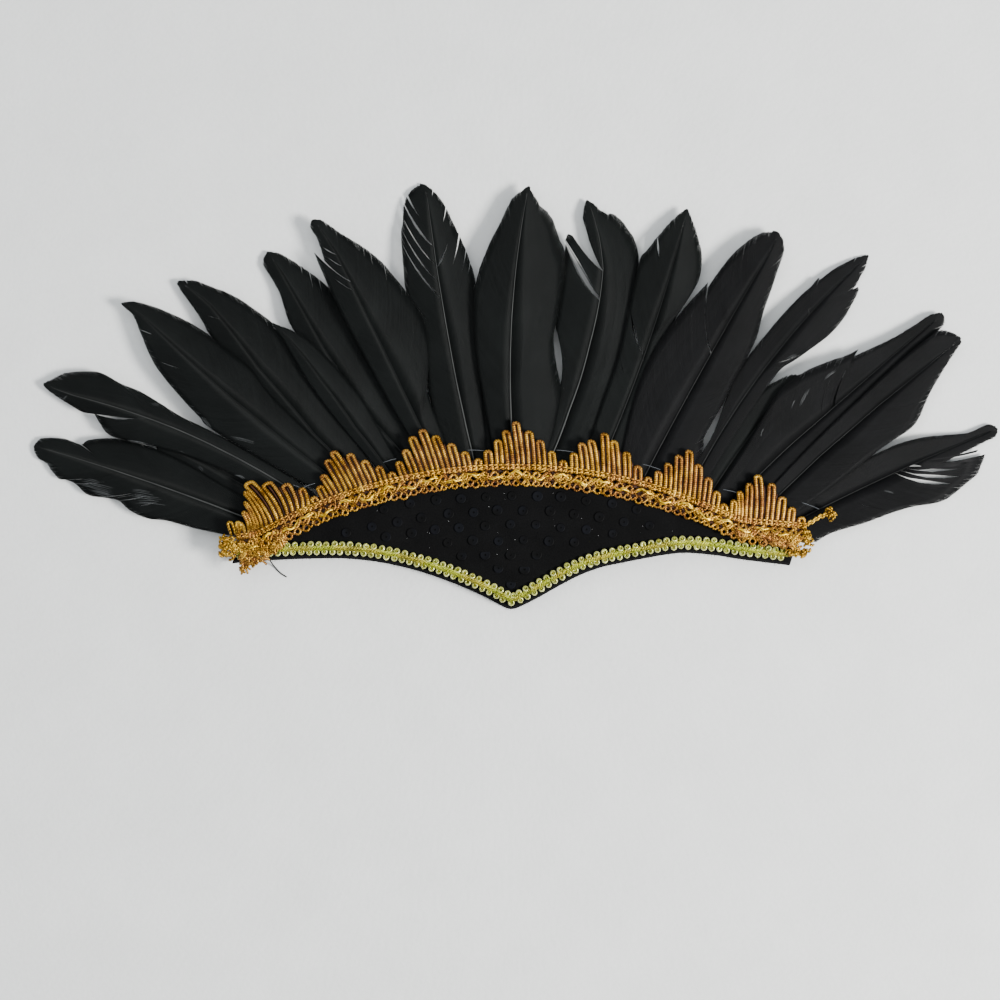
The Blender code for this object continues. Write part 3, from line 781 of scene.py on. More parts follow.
def barbs(name, shaft, side):
    """The barbs of one vane, as thin closed strips from the shaft to the edge."""
    locks = shaft.locks(side)
    tip, edge, root = (np.concatenate([lock[i] for lock in locks]) for i in range(3))
    lock_of = np.concatenate([np.full(len(lock[0]), i) for i, lock in enumerate(locks)])
    count = len(tip)
    part = np.linspace(0, 1, BARB_PIECES + 1)
    curve = part + 0.35 * part * (1 - part)
    spread = part**1.15
    first_out = shaft.stray(root)
    along = root[:, None] + (tip - root)[:, None] * spread
    out = first_out[:, None] + (side * edge - first_out)[:, None] * curve
    # The strips' widths follow the spaces between them before any barb has strayed.
    x, y = shaft.at(along, out)
    flat = np.stack([x, y], axis=-1)
    apart = np.empty_like(flat)
    for i in range(len(locks)):
        apart[lock_of == i] = np.gradient(flat[lock_of == i], axis=0)
    ahead = np.gradient(flat, axis=1)
    ahead /= np.linalg.norm(ahead, axis=2, keepdims=True) + 1e-12
    spacing = np.abs(apart[..., 0] * ahead[..., 1] - apart[..., 1] * ahead[..., 0])
    half = 0.62 * np.clip(spacing, 0.00010, 0.0009) * np.where(part > 0.99, 0.75, 1.0)
    # Uneven ends, and the slits where neighbours have come apart.
    rough = dice.normal(0, 1, count)
    clump = np.interp(np.linspace(0, 1, count), np.sort(dice.uniform(0, 1, 30)), dice.normal(0, 1, 30))
    near_tip = smooth(tip, 0.80, 1.0)
    length = np.hypot((tip - root) * shaft.length, side * edge - first_out)
    pull = (0.00014 + 0.00012 * near_tip) * np.abs(rough) + (0.00012 + 0.00022 * near_tip) * np.abs(clump)
    reach = 1 - np.minimum(pull / np.maximum(length, 0.003), 0.25)
    along = root[:, None] + (along - root[:, None]) * reach[:, None]
    out = first_out[:, None] + (out - first_out[:, None]) * reach[:, None]
    edge_way = np.stack([np.gradient(tip * shaft.length), np.gradient(side * edge)], axis=-1)
    edge_way /= np.linalg.norm(edge_way, axis=1, keepdims=True) + 1e-12
    for slit_side, where, start, end, mouth, *at_root in SLITS.get(name, ()):
        if slit_side == side:
            gone = np.abs(root - where) if at_root else np.abs(tip - where)
            middle = int(np.argmin(gone)) + 0.5
            off = (np.arange(count) - middle) * BARB_SPACING
            push = np.sign(off) * np.exp(-np.abs(off) / SLIT_REACH) * mouth * 0.0005
            if end == 1:
                opened = smooth(part, start, min(1, start + 0.45))
            else:
                opened = np.sin(math.pi * np.clip((part - start) / (end - start), 0, 1))
            along = along + (push * edge_way[:, 0])[:, None] * opened / shaft.length
            out = out + (push * edge_way[:, 1])[:, None] * opened
    x, y = shaft.at(along, out)
    flat = np.stack([x, y], axis=-1)
    ahead = np.gradient(flat, axis=1)
    ahead /= np.linalg.norm(ahead, axis=2, keepdims=True) + 1e-12
    beside = np.stack([ahead[..., 1], -ahead[..., 0]], axis=-1) * half[..., None]
    across = np.clip(np.abs(out - first_out[:, None]) / 0.018, 0, 1.3)
    share = np.clip(along, 0, 1)
    height = shaft.height(share) - VANE_DROOP * share * across**2 + 0.00012 * np.sin(math.pi * np.clip(across, 0, 1))
    height = height + 0.00004 * rough[:, None] * part
    left, right = flat - beside, flat + beside
    points = np.stack(
        [
            draped(left[..., 0], left[..., 1], height - BARB_THICKNESS / 2),
            draped(right[..., 0], right[..., 1], height - BARB_THICKNESS / 2),
            draped(flat[..., 0], flat[..., 1], height + BARB_THICKNESS / 2),
        ],
        axis=2,
    ).reshape(-1, 3)
    step = np.arange(count) / count
    mark = np.stack(np.broadcast_arrays(step[:, None] + side, np.abs(out)), axis=-1)
    marks = np.repeat(mark.reshape(-1, 2), 3, axis=0)
    stations = BARB_PIECES + 1
    first = (np.arange(count) * stations * 3)[:, None, None]
    i = (np.arange(BARB_PIECES) * 3)[None, :, None]
    j = np.arange(3)[None, None, :]
    k = (j + 1) % 3
    quads = np.stack([first + i + j, first + i + k, first + i + 3 + k, first + i + 3 + j], axis=-1).reshape(-1, 4)
    ends = first[:, 0, 0]
    last = ends + BARB_PIECES * 3
    caps = np.concatenate([np.stack([ends, ends + 2, ends + 1], axis=-1), np.stack([last, last + 1, last + 2], axis=-1)])
    return points, (quads, caps), marks


def add_feather(name, vane_material, shaft_material):
    shaft = Shaft(name)
    run = np.concatenate([[-ROOT_DEPTH / shaft.length], np.linspace(-0.02, 0.97, 44)])
    x, y = shaft.at(run, shaft.stray(run))
    thick = (0.00034 if name in PALE_SHAFTS else 0.00022) * (1 - np.clip(run, 0, 1)) ** 0.9 + 0.00006
    height = shaft.height(np.clip(run, 0, 1)) + 0.00022
    quill = tube(draped(x, y, height), thick, 8, flat=0.6)
    piece = finish_piece(name + "_vanes", [barbs(name, shaft, -1), barbs(name, shaft, 1)], vane_material, [name])
    rod = finish_piece(name + "_shaft", [quill], shaft_material)
    return piece, rod


cool = feather_finish("feather_cool_black", (0.0016, 0.0023, 0.0022), (0.0060, 0.0075, 0.0072))
warm = feather_finish("feather_warm_black", (0.0016, 0.0017, 0.0020), (0.0056, 0.0058, 0.0066))
pale_shaft = shaft_finish("pale_shaft", (0.018, 0.019, 0.019), (0.075, 0.078, 0.076))
black_shaft = shaft_finish("black_shaft", (0.0025, 0.003, 0.003), (0.008, 0.009, 0.009))
PALE_SHAFTS = ("feather_left_1", "feather_left_2", "feather_middle_1", "feather_middle_2", "feather_middle_3")
vanes = [
    add_feather(name, warm if "right" in name else cool, pale_shaft if name in PALE_SHAFTS else black_shaft)[0]
    for name in FEATHERS
]

# Split barbs whose pale colour is a painted highlight where they catch the light, as flat places in millimetres, and
# how many lie side by side.
PAINTED_LIT_BARBS = (
    ((156.4, 87.0), (164.0, 92.4), 3), ((140.6, 72.9), (142.8, 77.7), 2), ((144.4, 73.4), (151.0, 84.8), 3),
    ((124.9, 58.8), (126.6, 62.9), 2), ((185.6, 31.7), (192.2, 30.4), 2), ((137.4, 96.7), (143.9, 100.0), 3),
    ((-166.0, 51.7), (-163.5, 50.7), 1), ((-156.8, 44.2), (-154.3, 40.9), 2), ((-137.0, 39.6), (-133.2, 37.5), 3),
    ((-181.0, 75.2), (-176.0, 74.4), 2), ((-193.5, 57.2), (-181.7, 55.0), 3), ((-155.5, 68.4), (-150.3, 61.8), 4),
    ((-141.6, 58.5), (-127.6, 55.2), 3), ((-138.6, 39.4), (-132.7, 37.6), 2), ((-215.7, 36.7), (-205.5, 33.7), 6),
    ((-213.0, 34.2), (-197.5, 30.2), 6), ((-210.5, 32.2), (-199.5, 28.7), 4), ((-193.0, 31.2), (-178.0, 28.7), 6),
    ((-190.5, 27.2), (-173.0, 26.2), 5), ((-226.0, 76.0), (-222.5, 80.0), 2), ((-120.0, 123.0), (-114.0, 114.0), 2),
)


def add_painted_lit_barbs(vanes):
    """Pale split barbs laid on whatever feather lies uppermost at their place; the pale colour is a painted highlight.
    """
    points, faces = [], []
    for piece in vanes:
        first = len(points)
        points += [tuple(v.co) for v in piece.data.vertices]
        faces += [[first + i for i in face.vertices] for face in piece.data.polygons]
    tree = BVHTree.FromPolygons(points, faces)
    parts = []
    for (ax, ay), (bx, by), count in PAINTED_LIT_BARBS:
        for i in range(count):
            t = np.linspace(dice.uniform(0, 0.25), dice.uniform(0.75, 1), 9)
            beside = (i - (count - 1) / 2) * (0.45 if count < 4 else 0.8) + dice.normal(0, 0.12)
            long = math.hypot(bx - ax, by - ay)
            x = (ax + (bx - ax) * t - (by - ay) / long * (beside + 0.5 * np.sin(3 * t))) * 0.001
            y = (ay + (by - ay) * t + (bx - ax) / long * (beside + 0.5 * np.sin(3 * t))) * 0.001
            line = draped(x, y, 0.0)
            hits = [tree.ray_cast((px, py, 0.05), (0, 0, -1))[0] for px, py, _ in line]
            line = np.array([(px, py, hit.z + 0.0001) for (px, py, _), hit in zip(line, hits) if hit])
            if len(line) > 3:
                parts.append(tube(line, dice.uniform(0.00007, 0.00013) * (1 - 0.7 * np.linspace(-1, 1, len(line)) ** 2), 5))
    # Their pale grey is a painted highlight.
    finish = thread_finish("barb_painted_highlight", (0.085, 0.09, 0.092), (0.035, 0.038, 0.04), 0.45)
    return finish_piece("split_barbs_painted_lit", parts, finish)


add_painted_lit_barbs(vanes)


# ---------- the band ----------


def band_sheet(name, underside, thickness, inset, material, node):
    """A layer of the band: a fine sheet with rounded edges, filling the outline from the V to behind the lace."""
    columns, rows = 141, 25
    share = np.linspace(0, 1, columns)
    x = (share - 0.5) * (BAND_LENGTH - 2 * inset)
    head_x, head_y = arch(LACE_START + inset + share * (LACE_LENGTH - 2 * inset), EDGE_ABOVE_LACE)
    up = np.linspace(0, 1, rows)[:, None]
    flat_x = x + (head_x - x) * up
    flat_y = lower_edge(x, inset) + (head_y - lower_edge(x, inset)) * up
    points, faces = [], []
    over = draped(flat_x, flat_y, underside + thickness).reshape(-1, 3)
    mesh = bpy.data.meshes.new(name)
    i = (np.arange(rows - 1) * columns)[:, None]
    j = np.arange(columns - 1)[None, :]
    quads = np.stack([i + j, i + j + 1, i + columns + j + 1, i + columns + j], axis=-1).reshape(-1, 4)
    mesh.from_pydata(over.tolist(), [], quads.tolist())
    layer = mesh.uv_layers.new(name="along")
    marks = np.stack([flat_x, flat_y], axis=-1).reshape(-1, 2)
    corner = np.empty(len(mesh.loops), dtype=np.int32)
    mesh.loops.foreach_get("vertex_index", corner)
    layer.data.foreach_set("uv", marks[corner].astype(np.float32).ravel())
    mesh.materials.append(material)
    piece = bpy.data.objects.new(name, mesh)
    bpy.context.collection.objects.link(piece)
    bpy.ops.object.select_all(action="DESELECT")
    piece.select_set(True)
    bpy.context.view_layer.objects.active = piece
    wall = piece.modifiers.new("wall", "SOLIDIFY")
    wall.thickness = thickness
    wall.offset = -1
    bpy.ops.object.modifier_apply(modifier="wall")
    edge = piece.modifiers.new("edge", "BEVEL")
    edge.width = thickness * 0.35
    edge.segments = 3
    edge.limit_method = "ANGLE"
    edge.angle_limit = math.radians(50)
    bpy.ops.object.modifier_apply(modifier="edge")
    piece.data.shade_smooth()
    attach(piece, "root")
    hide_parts(node)
    return piece


felt = band_sheet("felt_backing", 0.0, FELT_THICKNESS, 0.0, felt_finish(), "backing")
panel = band_sheet("panel_cloth", PANEL_UNDERSIDE, PANEL_TOP - PANEL_UNDERSIDE, 0.0010, cloth_finish(), "front_panel")


# ---------- bead braid ----------


def bead_places():
    """Flat places of the beads along the lower edge, one row below the cord and one above."""
    x = np.linspace(-HALF_BAND + 0.0035, HALF_BAND - 0.002, 4001)
    y = lower_edge(x, BEAD_LINE)
    run = np.concatenate([[0], np.cumsum(np.hypot(np.diff(x), np.diff(y)))])
    marks = np.arange(0.001, run[-1], BEAD_PITCH)
    return np.interp(marks, run, x), np.interp(marks, run, y), (x, y, run)


def add_beads():
    """Ring beads, each modelled once as a plump torus and set tilted a little its own way."""
    bpy.ops.object.select_all(action="DESELECT")
    bpy.ops.mesh.primitive_torus_add(
        major_radius=0.00102, minor_radius=0.00058, major_segments=16, minor_segments=8, location=(0, 0, 0)
    )
    ring = bpy.context.object
    points = np.array([v.co for v in ring.data.vertices])
    faces = np.array([list(face.vertices) for face in ring.data.polygons])
    bpy.data.objects.remove(ring, do_unlink=True)
    outward = np.hypot(points[:, 0], points[:, 1])
    # How far out on the ring each point lies; the bead finish paints shade near the hole and a highlight at the rim
    # from it.
    rim = (outward - outward.min()) / (outward.max() - outward.min())
    x, y, line = bead_places()
    slope = np.gradient(y, x)
    parts, holes = [], []
    for i in range(len(x)):
        ahead = np.array([1.0, slope[i], 0.0])
        ahead /= np.linalg.norm(ahead)
        up_way = np.array([-ahead[1], ahead[0], 0.0])
        for row in (-1, 1):
            tilt = dice.normal(0, 0.20, 2) + np.array([0.0, 0.16 * row])
            axis_z = np.array([tilt[0], tilt[1], 1.0])
            axis_z /= np.linalg.norm(axis_z)
            axis_x = np.cross(up_way, axis_z)
            axis_x /= np.linalg.norm(axis_x)
            axis_y = np.cross(axis_z, axis_x)
            offset = row * BEAD_ROW_GAP / 2 + dice.normal(0, 0.00012)
            slide = dice.normal(0, 0.00014) + (0.0009 if row > 0 else 0.0)
            flat_x = x[i] + up_way[0] * offset + ahead[0] * slide
            flat_y = y[i] + up_way[1] * offset + ahead[1] * slide
            size = 1 + dice.normal(0, 0.03)
            axes = np.array([axis_x, axis_y, axis_z * 1.35]) * size
            marks = np.column_stack([rim, np.full(len(rim), dice.uniform(0, 1))])
            parts.append((draped(flat_x, flat_y, TRIM_FROM + 0.00095) + points @ axes, (faces,), marks))
            holes.append((flat_x, flat_y, up_way, row))
    return finish_piece("beads", parts, bead_finish(), ["bead_braid"]), line, holes


def add_bead_cord(line, holes):
    """The fuzzy lime cord between the two rows, with a stitch through each bead."""
    x, y, run = line
    along = np.arange(0.0, run[-1], 0.0005)
    cord_x, cord_y = np.interp(along, run, x), np.interp(along, run, y)
    slope = np.gradient(cord_y, cord_x)
    away = np.stack([-slope, np.ones_like(slope)], axis=-1)
    away /= np.linalg.norm(away, axis=1, keepdims=True)
    parts = []
    for phase, wide, pitch in ((0.0, 0.0008, 1.0), (2.1, 0.0007, 1.0), (4.2, 0.0010, 1.0), (1.0, 0.0012, 2.3), (3.0, 0.0011, 1.7)):
        wave = np.sin(2 * math.pi * along * pitch / BEAD_PITCH + phase)
        bob = np.cos(2 * math.pi * along * pitch / BEAD_PITCH + phase)
        path_x = cord_x + away[:, 0] * wave * wide
        path_y = cord_y + away[:, 1] * wave * wide
        parts.append(tube(draped(path_x, path_y, TRIM_FROM + 0.0014 + 0.0005 * bob), 0.00046, 6))
    for flat_x, flat_y, up_way, row in holes:
        reach = np.linspace(-1, 1, 7)
        stitch_x = flat_x + up_way[0] * reach * 0.0015
        stitch_y = flat_y + up_way[1] * reach * 0.0015
        parts.append(tube(draped(stitch_x, stitch_y, TRIM_FROM + 0.0004 + 0.0007 * (1 - reach**2)), 0.00034, 6))
    for i in range(520):
        start = dice.uniform(0, run[-1])
        px, py = np.interp(start, run, x), np.interp(start, run, y)
        turn = dice.uniform(0, 2 * math.pi)
        reach = np.linspace(0, dice.uniform(0.0010, 0.0022), 5)
        bend = turn + reach * dice.normal(0, 600)
        fibre_x = px + np.cos(bend) * reach
        fibre_y = py + dice.normal(0, 0.0006) + np.sin(bend) * reach
        parts.append(tube(draped(fibre_x, fibre_y, TRIM_FROM + 0.0015 + 0.0006 * np.sin(reach * 900)), 0.00011, 3))
    cord = gold_finish("lime_cord", (0.060, 0.066, 0.001), (0.27, 0.31, 0.006), (0.56, 0.54, 0.035), 0.35, 5200.0, (0.27, 0.22, 0.010))
    return finish_piece("bead_cord", parts, cord)


beads, bead_line, bead_holes = add_beads()
add_bead_cord(bead_line, bead_holes)


# ---------- gold lace ----------

LOOPS_A_SCALLOP = 8
SCALLOP = (0.17, 0.36, 0.59, 0.82, 1.0, 0.82, 0.59, 0.36)
# Where the scallops part, as distances along the arch, and how the loops of each lean, left of it and right of it.
SCALLOP_AT = (-0.1385, -0.0950, -0.0565, -0.0155, 0.0250, 0.0660, 0.1045, 0.1475)
LEANS = ((-52, -20), (-30, -19), (-22, -11), (-4, -4), (-4, 1), (2, 10), (3, 9))
PEAK_HEIGHT = 0.022
# Where the tips of the first scallop's loops lie, in millimetres: they fan out over the end.
FIRST_TIPS = ((-136, 16.2), (-133.5, 21.7), (-132.9, 26.4), (-132.9, 31.4), (-131.8, 36.0), (-122.6, 35.7), (-113.0, 35.2),
              (-104.9, 33.2), (-99, 30.6))
STITCH_LINE = 0.011
CORD_RADIUS = 0.00102
LOOP_PITCH = LACE_LENGTH / 57


def on_lace(s, up, height):
    """Points on the lace: a distance along the arch, a height up the lace and a height above the cloth."""
    x, y = arch(s, up)
    return draped(x, y, TRIM_FROM + lace_lift(x, y) + height)


def leaning(s, up, height, lean, bow):
    """The same, but above the stitch line everything leans: by an angle from +Y, and further over higher up."""
    x, y = arch(s, np.minimum(up, STITCH_LINE))
    rise = np.maximum(0, up - STITCH_LINE)
    angle = np.radians(lean + bow * rise / PEAK_HEIGHT)
    x, y = x + rise * np.sin(angle), y + rise * np.cos(angle)
    return draped(x, y, TRIM_FROM + lace_lift(x, y) + height)


def gimp(path, radius=CORD_RADIUS, sides=8, flat=0.85):
    """Cord wound with metal thread: a tube with a fine ripple."""
    return tube(path, radius, sides, 2, 0.03, 2 * math.pi / 0.0013, flat)


def to_tip(s, tip):
    """How long a loop is and how far it leans, from its foot on the stitch line to its tip."""
    x, y = arch(s, STITCH_LINE)
    over, up = tip[0] * 0.001 - float(x), tip[1] * 0.001 - float(y)
    return math.hypot(over, up), math.degrees(math.atan2(over, up))


def add_loops(material, shade_gold):
    parts, threads = [], []
    for k in range(len(LEANS)):
        pitch = (SCALLOP_AT[k + 1] - SCALLOP_AT[k]) / LOOPS_A_SCALLOP
        for j in range(LOOPS_A_SCALLOP + (1 if k == len(LEANS) - 1 else 0)):
            middle = SCALLOP_AT[k] + j * pitch
            share = j / LOOPS_A_SCALLOP
            reach = PEAK_HEIGHT * SCALLOP[j % LOOPS_A_SCALLOP] * (1 + dice.normal(0, 0.035))
            lean = LEANS[k][0] + (LEANS[k][1] - LEANS[k][0]) * share + dice.normal(0, 1.0)
            bow = dice.normal(-4, 2)
            fan = (LEANS[k][1] - LEANS[k][0]) / (LOOPS_A_SCALLOP * pitch)
            if k == 0:
                reach, towards = to_tip(middle, FIRST_TIPS[j])
                fan = (to_tip(middle + pitch, FIRST_TIPS[j + 1])[1] - towards) / pitch
                lean, bow = towards + 16, -16 * PEAK_HEIGHT / reach
            wide = pitch / 4 * (1 + dice.normal(0, 0.05))
            top = STITCH_LINE + reach
            foot = STITCH_LINE - 0.0026
            turn = top - CORD_RADIUS - wide
            side_height = max(foot + 0.0015, turn - 0.001)
            legs = [(-wide, foot), (-wide, (foot + turn) / 2), (-wide, side_height), (-wide * 0.85, turn + wide * 0.65)]
            legs += [(0.0, turn + wide)]
            legs += [(wide * 0.85, turn + wide * 0.65), (wide, side_height), (wide, (foot + turn) / 2), (wide, foot)]
            line = flow(legs, 0.0004)
            high = CORD_RADIUS * 0.85 + 0.00018 * np.sin(line[:, 1] * 500 + 3 * j) + 0.0002
            parts.append(gimp(leaning(middle + line[:, 0], line[:, 1], high, lean + fan * line[:, 0], bow)))
            # Dark threads in and between the loops, standing for the shade in the gaps: painted shade.
            for side in (0.0, pitch / 2):
                rise = np.linspace(STITCH_LINE - 0.001, STITCH_LINE + max(0.0, reach - 0.0022 - side * 1.2), 12)
                threads.append(tube(leaning(middle + side + 0 * rise, rise, 0.0004, lean + fan * side, bow), 0.00050, 6, flat=0.7))
    loops = finish_piece("lace_loops", parts, material, ["gold_braid"])
    return loops, finish_piece("lace_painted_shade", threads, shade_gold)


def loose_turn(s, up, height, size, turn, radius):
    """A short bent piece of thread in the crochet."""
    reach = np.linspace(-1, 1, 8)
    along = s + size * (reach * math.cos(turn) - 0.45 * reach**2 * math.sin(turn))
    rise = up + size * (reach * math.sin(turn) + 0.45 * reach**2 * math.cos(turn))
    return tube(on_lace(along, rise, height + 0.0004 * (1 - reach**2)), radius, 6, 1, 0.08, 2 * math.pi / 0.0010, 0.85)


def add_crochet(material, shade_gold):
    """The rows below the loops: stitches under the legs, rings with open middles, and small picots at the edge."""
    parts, threads = [], []
    start, end = SCALLOP_AT[0] - 0.003, SCALLOP_AT[-1] + 0.003
    s = np.arange(start, end, 0.0005)
    phase = 2 * math.pi * (s - start) / LOOP_PITCH
    # Dark red-brown threads between the stitches: painted shade.
    for level in (0.0098, 0.0085, 0.0071, 0.0056, 0.0040, 0.0026):
        up = level + 0.0005 * np.sin(phase * 0.77 + level * 3000)
        threads.append(tube(on_lace(s, up, 0.00035), 0.00062, 6, flat=0.5))
    # The stitch line and the chain under it.
    up = 0.0109 + 0.00018 * np.sin(phase * 2)
    parts.append(gimp(on_lace(s, up, 0.0017 + 0.0003 * np.cos(phase * 2)), 0.00062, 6))
    for shift in (0.0, math.pi):
        up = 0.0093 + 0.00075 * np.sin(phase + shift)
        parts.append(gimp(on_lace(s, up, 0.0012 + 0.0004 * np.cos(phase + shift)), 0.00052, 6))
        up = 0.0054 + 0.0020 * np.sin(phase * 0.5 + shift) + 0.0003 * np.sin(phase * 0.31 + 2)
        parts.append(gimp(on_lace(s, up, 0.0012 + 0.0005 * np.cos(phase * 0.5 + shift)), 0.00068, 6))
    angle = np.linspace(0, 2 * math.pi, 19)
    count = int((end - start) / LOOP_PITCH)
    for i in range(count):
        middle = start + (i + 0.5) * LOOP_PITCH + dice.normal(0, 0.0003)
        wide, high = 0.00150 * (1 + dice.normal(0, 0.10)), 0.00165 * (1 + dice.normal(0, 0.10))
        # Diamonds of the middle row, on every loop or every second one.
        if dice.uniform() < 0.88:
            pinch = 1 - 0.16 * np.abs(np.sin(2 * angle))
            ring = on_lace(middle + wide * pinch * np.sin(angle), 0.0061 + high * pinch * np.cos(angle), 0.0016)
            parts.append(gimp(ring, 0.00070, 6))
        # The rings of the lower edge and the picots between them.
        size = 0.00138 * (1 + dice.normal(0, 0.14))
        low = 0.0019 - 0.0020 * float(smooth(middle, 0.105, 0.125) + 1 - smooth(middle, -0.125, -0.105))
        ring = on_lace(middle + size * np.sin(angle), low + size * np.cos(angle) + dice.normal(0, 0.0003), 0.0009)
        parts.append(gimp(ring, 0.00060, 6))
        between = middle + LOOP_PITCH / 2
        drop = dice.normal(0, 0.0002)
        picot = [(between - 0.0018, 0.0034), (between - 0.0005, 0.0013 + drop), (between, 0.0010 + drop)]
        picot += [(between + 0.0005, 0.0013 + drop), (between + 0.0018, 0.0034)]
        line = flow(picot, 0.0005)
        parts.append(gimp(on_lace(line[:, 0], line[:, 1], 0.0012), 0.00050, 6))
    for i in range(80):
        s0 = dice.uniform(start, end)
        up = dice.choice([dice.uniform(0.0072, 0.0104), dice.uniform(0.0024, 0.0088)])
        size = dice.uniform(0.0012, 0.0022)
        parts.append(loose_turn(s0, up, dice.uniform(0.0008, 0.0017), size, dice.uniform(0, math.pi), dice.uniform(0.00046, 0.00062)))
    # At both ends the lace is pulled down over the bead braid.
    for low_s, high_s, low_up, high_up, count in ((-0.1400, -0.1150, -0.0070, 0.0030, 110), (0.1160, 0.1470, -0.0022, 0.0040, 90)):
        for i in range(count):
            share = dice.uniform() ** 1.3
            s0 = low_s + (high_s - low_s) * (share if low_s < 0 else 1 - share)
            up = high_up - (high_up - low_up) * dice.uniform() * (1 - 0.75 * share)
            radius = dice.uniform(0.00050, 0.00066)
            parts.append(loose_turn(s0, up, dice.uniform(0.0008, 0.0018), dice.uniform(0.0014, 0.0024), dice.uniform(0, math.pi), radius))
    crochet = finish_piece("lace_crochet", parts, material)
    return crochet, finish_piece("crochet_painted_shade", threads, shade_gold)


def add_tinsel(material):
    """A bright flat strand that wanders along the crochet."""
    s = np.arange(SCALLOP_AT[0] + 0.004, SCALLOP_AT[-1] - 0.006, 0.0005)
    up = 0.0056 + 0.0013 * np.sin(2 * math.pi * s / 0.021 + 0.7) + 0.0006 * np.sin(2 * math.pi * s / 0.0077)
    dip = 0.0019 + 0.0006 * np.sin(2 * math.pi * s / 0.0105)
    parts = [tube(on_lace(s, up, dip), 0.00058, 6, 2, 0.25, 2 * math.pi / 0.004, 0.55)]
    s, up = s[20:-20], up[20:-20]
    up = up + 0.0009 * np.sin(2 * math.pi * s / 0.013)
    parts.append(tube(on_lace(s, up, dip[20:-20] - 0.0004), 0.00036, 6, 2, 0.2, 2 * math.pi / 0.003, 0.6))
    return finish_piece("lace_tinsel", parts, material)


# The cut ends of the lace, as flat places: where the frayed threads gather, how far they reach and which way.
FRAYS = (
    (-0.1425, 0.0045, 0.0026, 0.0036, 190, 34),
    (-0.1370, 0.0036, 0.0050, 0.0040, 200, 54),
    (-0.1280, 0.0030, 0.0070, 0.0022, 200, 34),
    (0.1468, 0.0088, 0.0014, 0.0046, -20, 34),
    (0.1425, 0.0010, 0.0036, 0.0012, -40, 24),
    (0.1582, 0.0206, 0.0013, 0.0012, 20, 16),
)
FRAY_TAIL = ((0.1475, 0.0150), (0.1505, 0.0165), (0.1535, 0.0185), (0.1580, 0.0200))
# Two small loops that stand up from the left knot: foot and tip.
KNOT_LOOPS = (((-0.1380, 0.0095), (-0.1398, 0.0160)), ((-0.1350, 0.0100), (-0.1358, 0.0160)))


def add_frays(material):
    """Both ends are cut and knotted: crumpled short threads, thickest over the bead braid."""
    parts = []
    for x, y, spread_x, spread_y, way, count in FRAYS:
        for i in range(count):
            px, py = x + dice.normal(0, spread_x / 2), y + dice.normal(0, spread_y / 2)
            turn = math.radians(way) + dice.normal(0, 1.4)
            reach = np.linspace(0, dice.uniform(0.0026, 0.0046), 10)
            bend = turn + reach * dice.choice((-1, 1)) * dice.uniform(500, 1300)
            step = reach[1]
            fibre_x, fibre_y = px + np.cumsum(np.cos(bend)) * step, py + np.cumsum(np.sin(bend)) * step
            height = dice.uniform(0.0006, 0.0019) + 0.0004 * np.sin(reach * 1400)
            lift = TRIM_FROM + BEAD_BRAID_HEIGHT * float(smooth(0.012 - py, 0, 0.006))
            parts.append(gimp(draped(fibre_x, fibre_y, lift + height), dice.uniform(0.00046, 0.00066), 6))
    for (foot_x, foot_y), (tip_x, tip_y) in KNOT_LOOPS:
        side = 0.0011
        line = flow([(foot_x - side, foot_y), (tip_x - side, tip_y - 0.001), (tip_x, tip_y), (tip_x + side, tip_y - 0.001),
                     (foot_x + side, foot_y)], 0.0004)
        parts.append(gimp(draped(line[:, 0], line[:, 1], TRIM_FROM + 0.0016), 0.00075, 6))
    for side in (-0.0005, 0.0, 0.0006):
        line = flow([(x, y + side) for x, y in FRAY_TAIL], 0.0005)
        parts.append(gimp(draped(line[:, 0], line[:, 1] + 0.0004 * np.sin(line[:, 0] * 2500), TRIM_FROM + 0.0010 + abs(side)), 0.00055, 6))
    return finish_piece("lace_frays", parts, material)


# Pale nylon threads across the valleys of the lace, as flat places.
NYLON = (
    ((-0.1035, 0.0330), (-0.0975, 0.0352)),
    ((-0.0635, 0.0455), (-0.0570, 0.0474)),
    ((-0.0215, 0.0517), (-0.0120, 0.0512)),
    ((0.0225, 0.0517), (0.0310, 0.0507)),
    ((0.0655, 0.0447), (0.0742, 0.0420)),
    ((0.1055, 0.0322), (0.1145, 0.0300)),
    ((0.1450, 0.0257), (0.1535, 0.0225)),
    ((-0.1085, 0.0345), (-0.1020, 0.0318)),
)


def add_nylon(material):
    parts = []
    for (ax, ay), (bx, by) in NYLON:
        t = np.linspace(0, 1, 9)
        x, y = ax + (bx - ax) * t, ay + (by - ay) * t + 0.0002 * np.sin(math.pi * t)
        parts.append(tube(draped(x, y, TRIM_FROM + 0.0008 - 0.0004 * np.sin(math.pi * t)), 0.00008, 5))
    return finish_piece("nylon_threads", parts, material)


gold = gold_finish("gold_cord", (0.045, 0.012, 0.0010), (0.30, 0.136, 0.012), (0.70, 0.44, 0.072), 0.93, copper=(0.28, 0.112, 0.028))
# The finish of the dark threads that stand for shade between the stitches: painted shade.
shade_gold = gold_finish("gold_painted_shade", (0.010, 0.0015, 0.0003), (0.040, 0.008, 0.0008), (0.10, 0.028, 0.003), 0.3)
add_loops(gold, shade_gold)
add_crochet(gold, shade_gold)
add_tinsel(gold_finish("gold_tinsel", (0.34, 0.17, 0.008), (0.80, 0.48, 0.022), (1.0, 0.74, 0.12), 0.95, 2400.0))
add_frays(gold_finish("frayed_gold", (0.050, 0.018, 0.0012), (0.32, 0.165, 0.012), (0.70, 0.47, 0.065), 0.9, 4200.0))
add_nylon(thread_finish("pale_nylon", (0.26, 0.28, 0.30), (0.12, 0.13, 0.15), 0.3))


# ---------- sequins, dust and a loose fibre ----------

SEQUIN_WIDTH = 0.0050
SEQUIN_COLUMNS = 0.0125
SEQUIN_ROWS = 0.0072


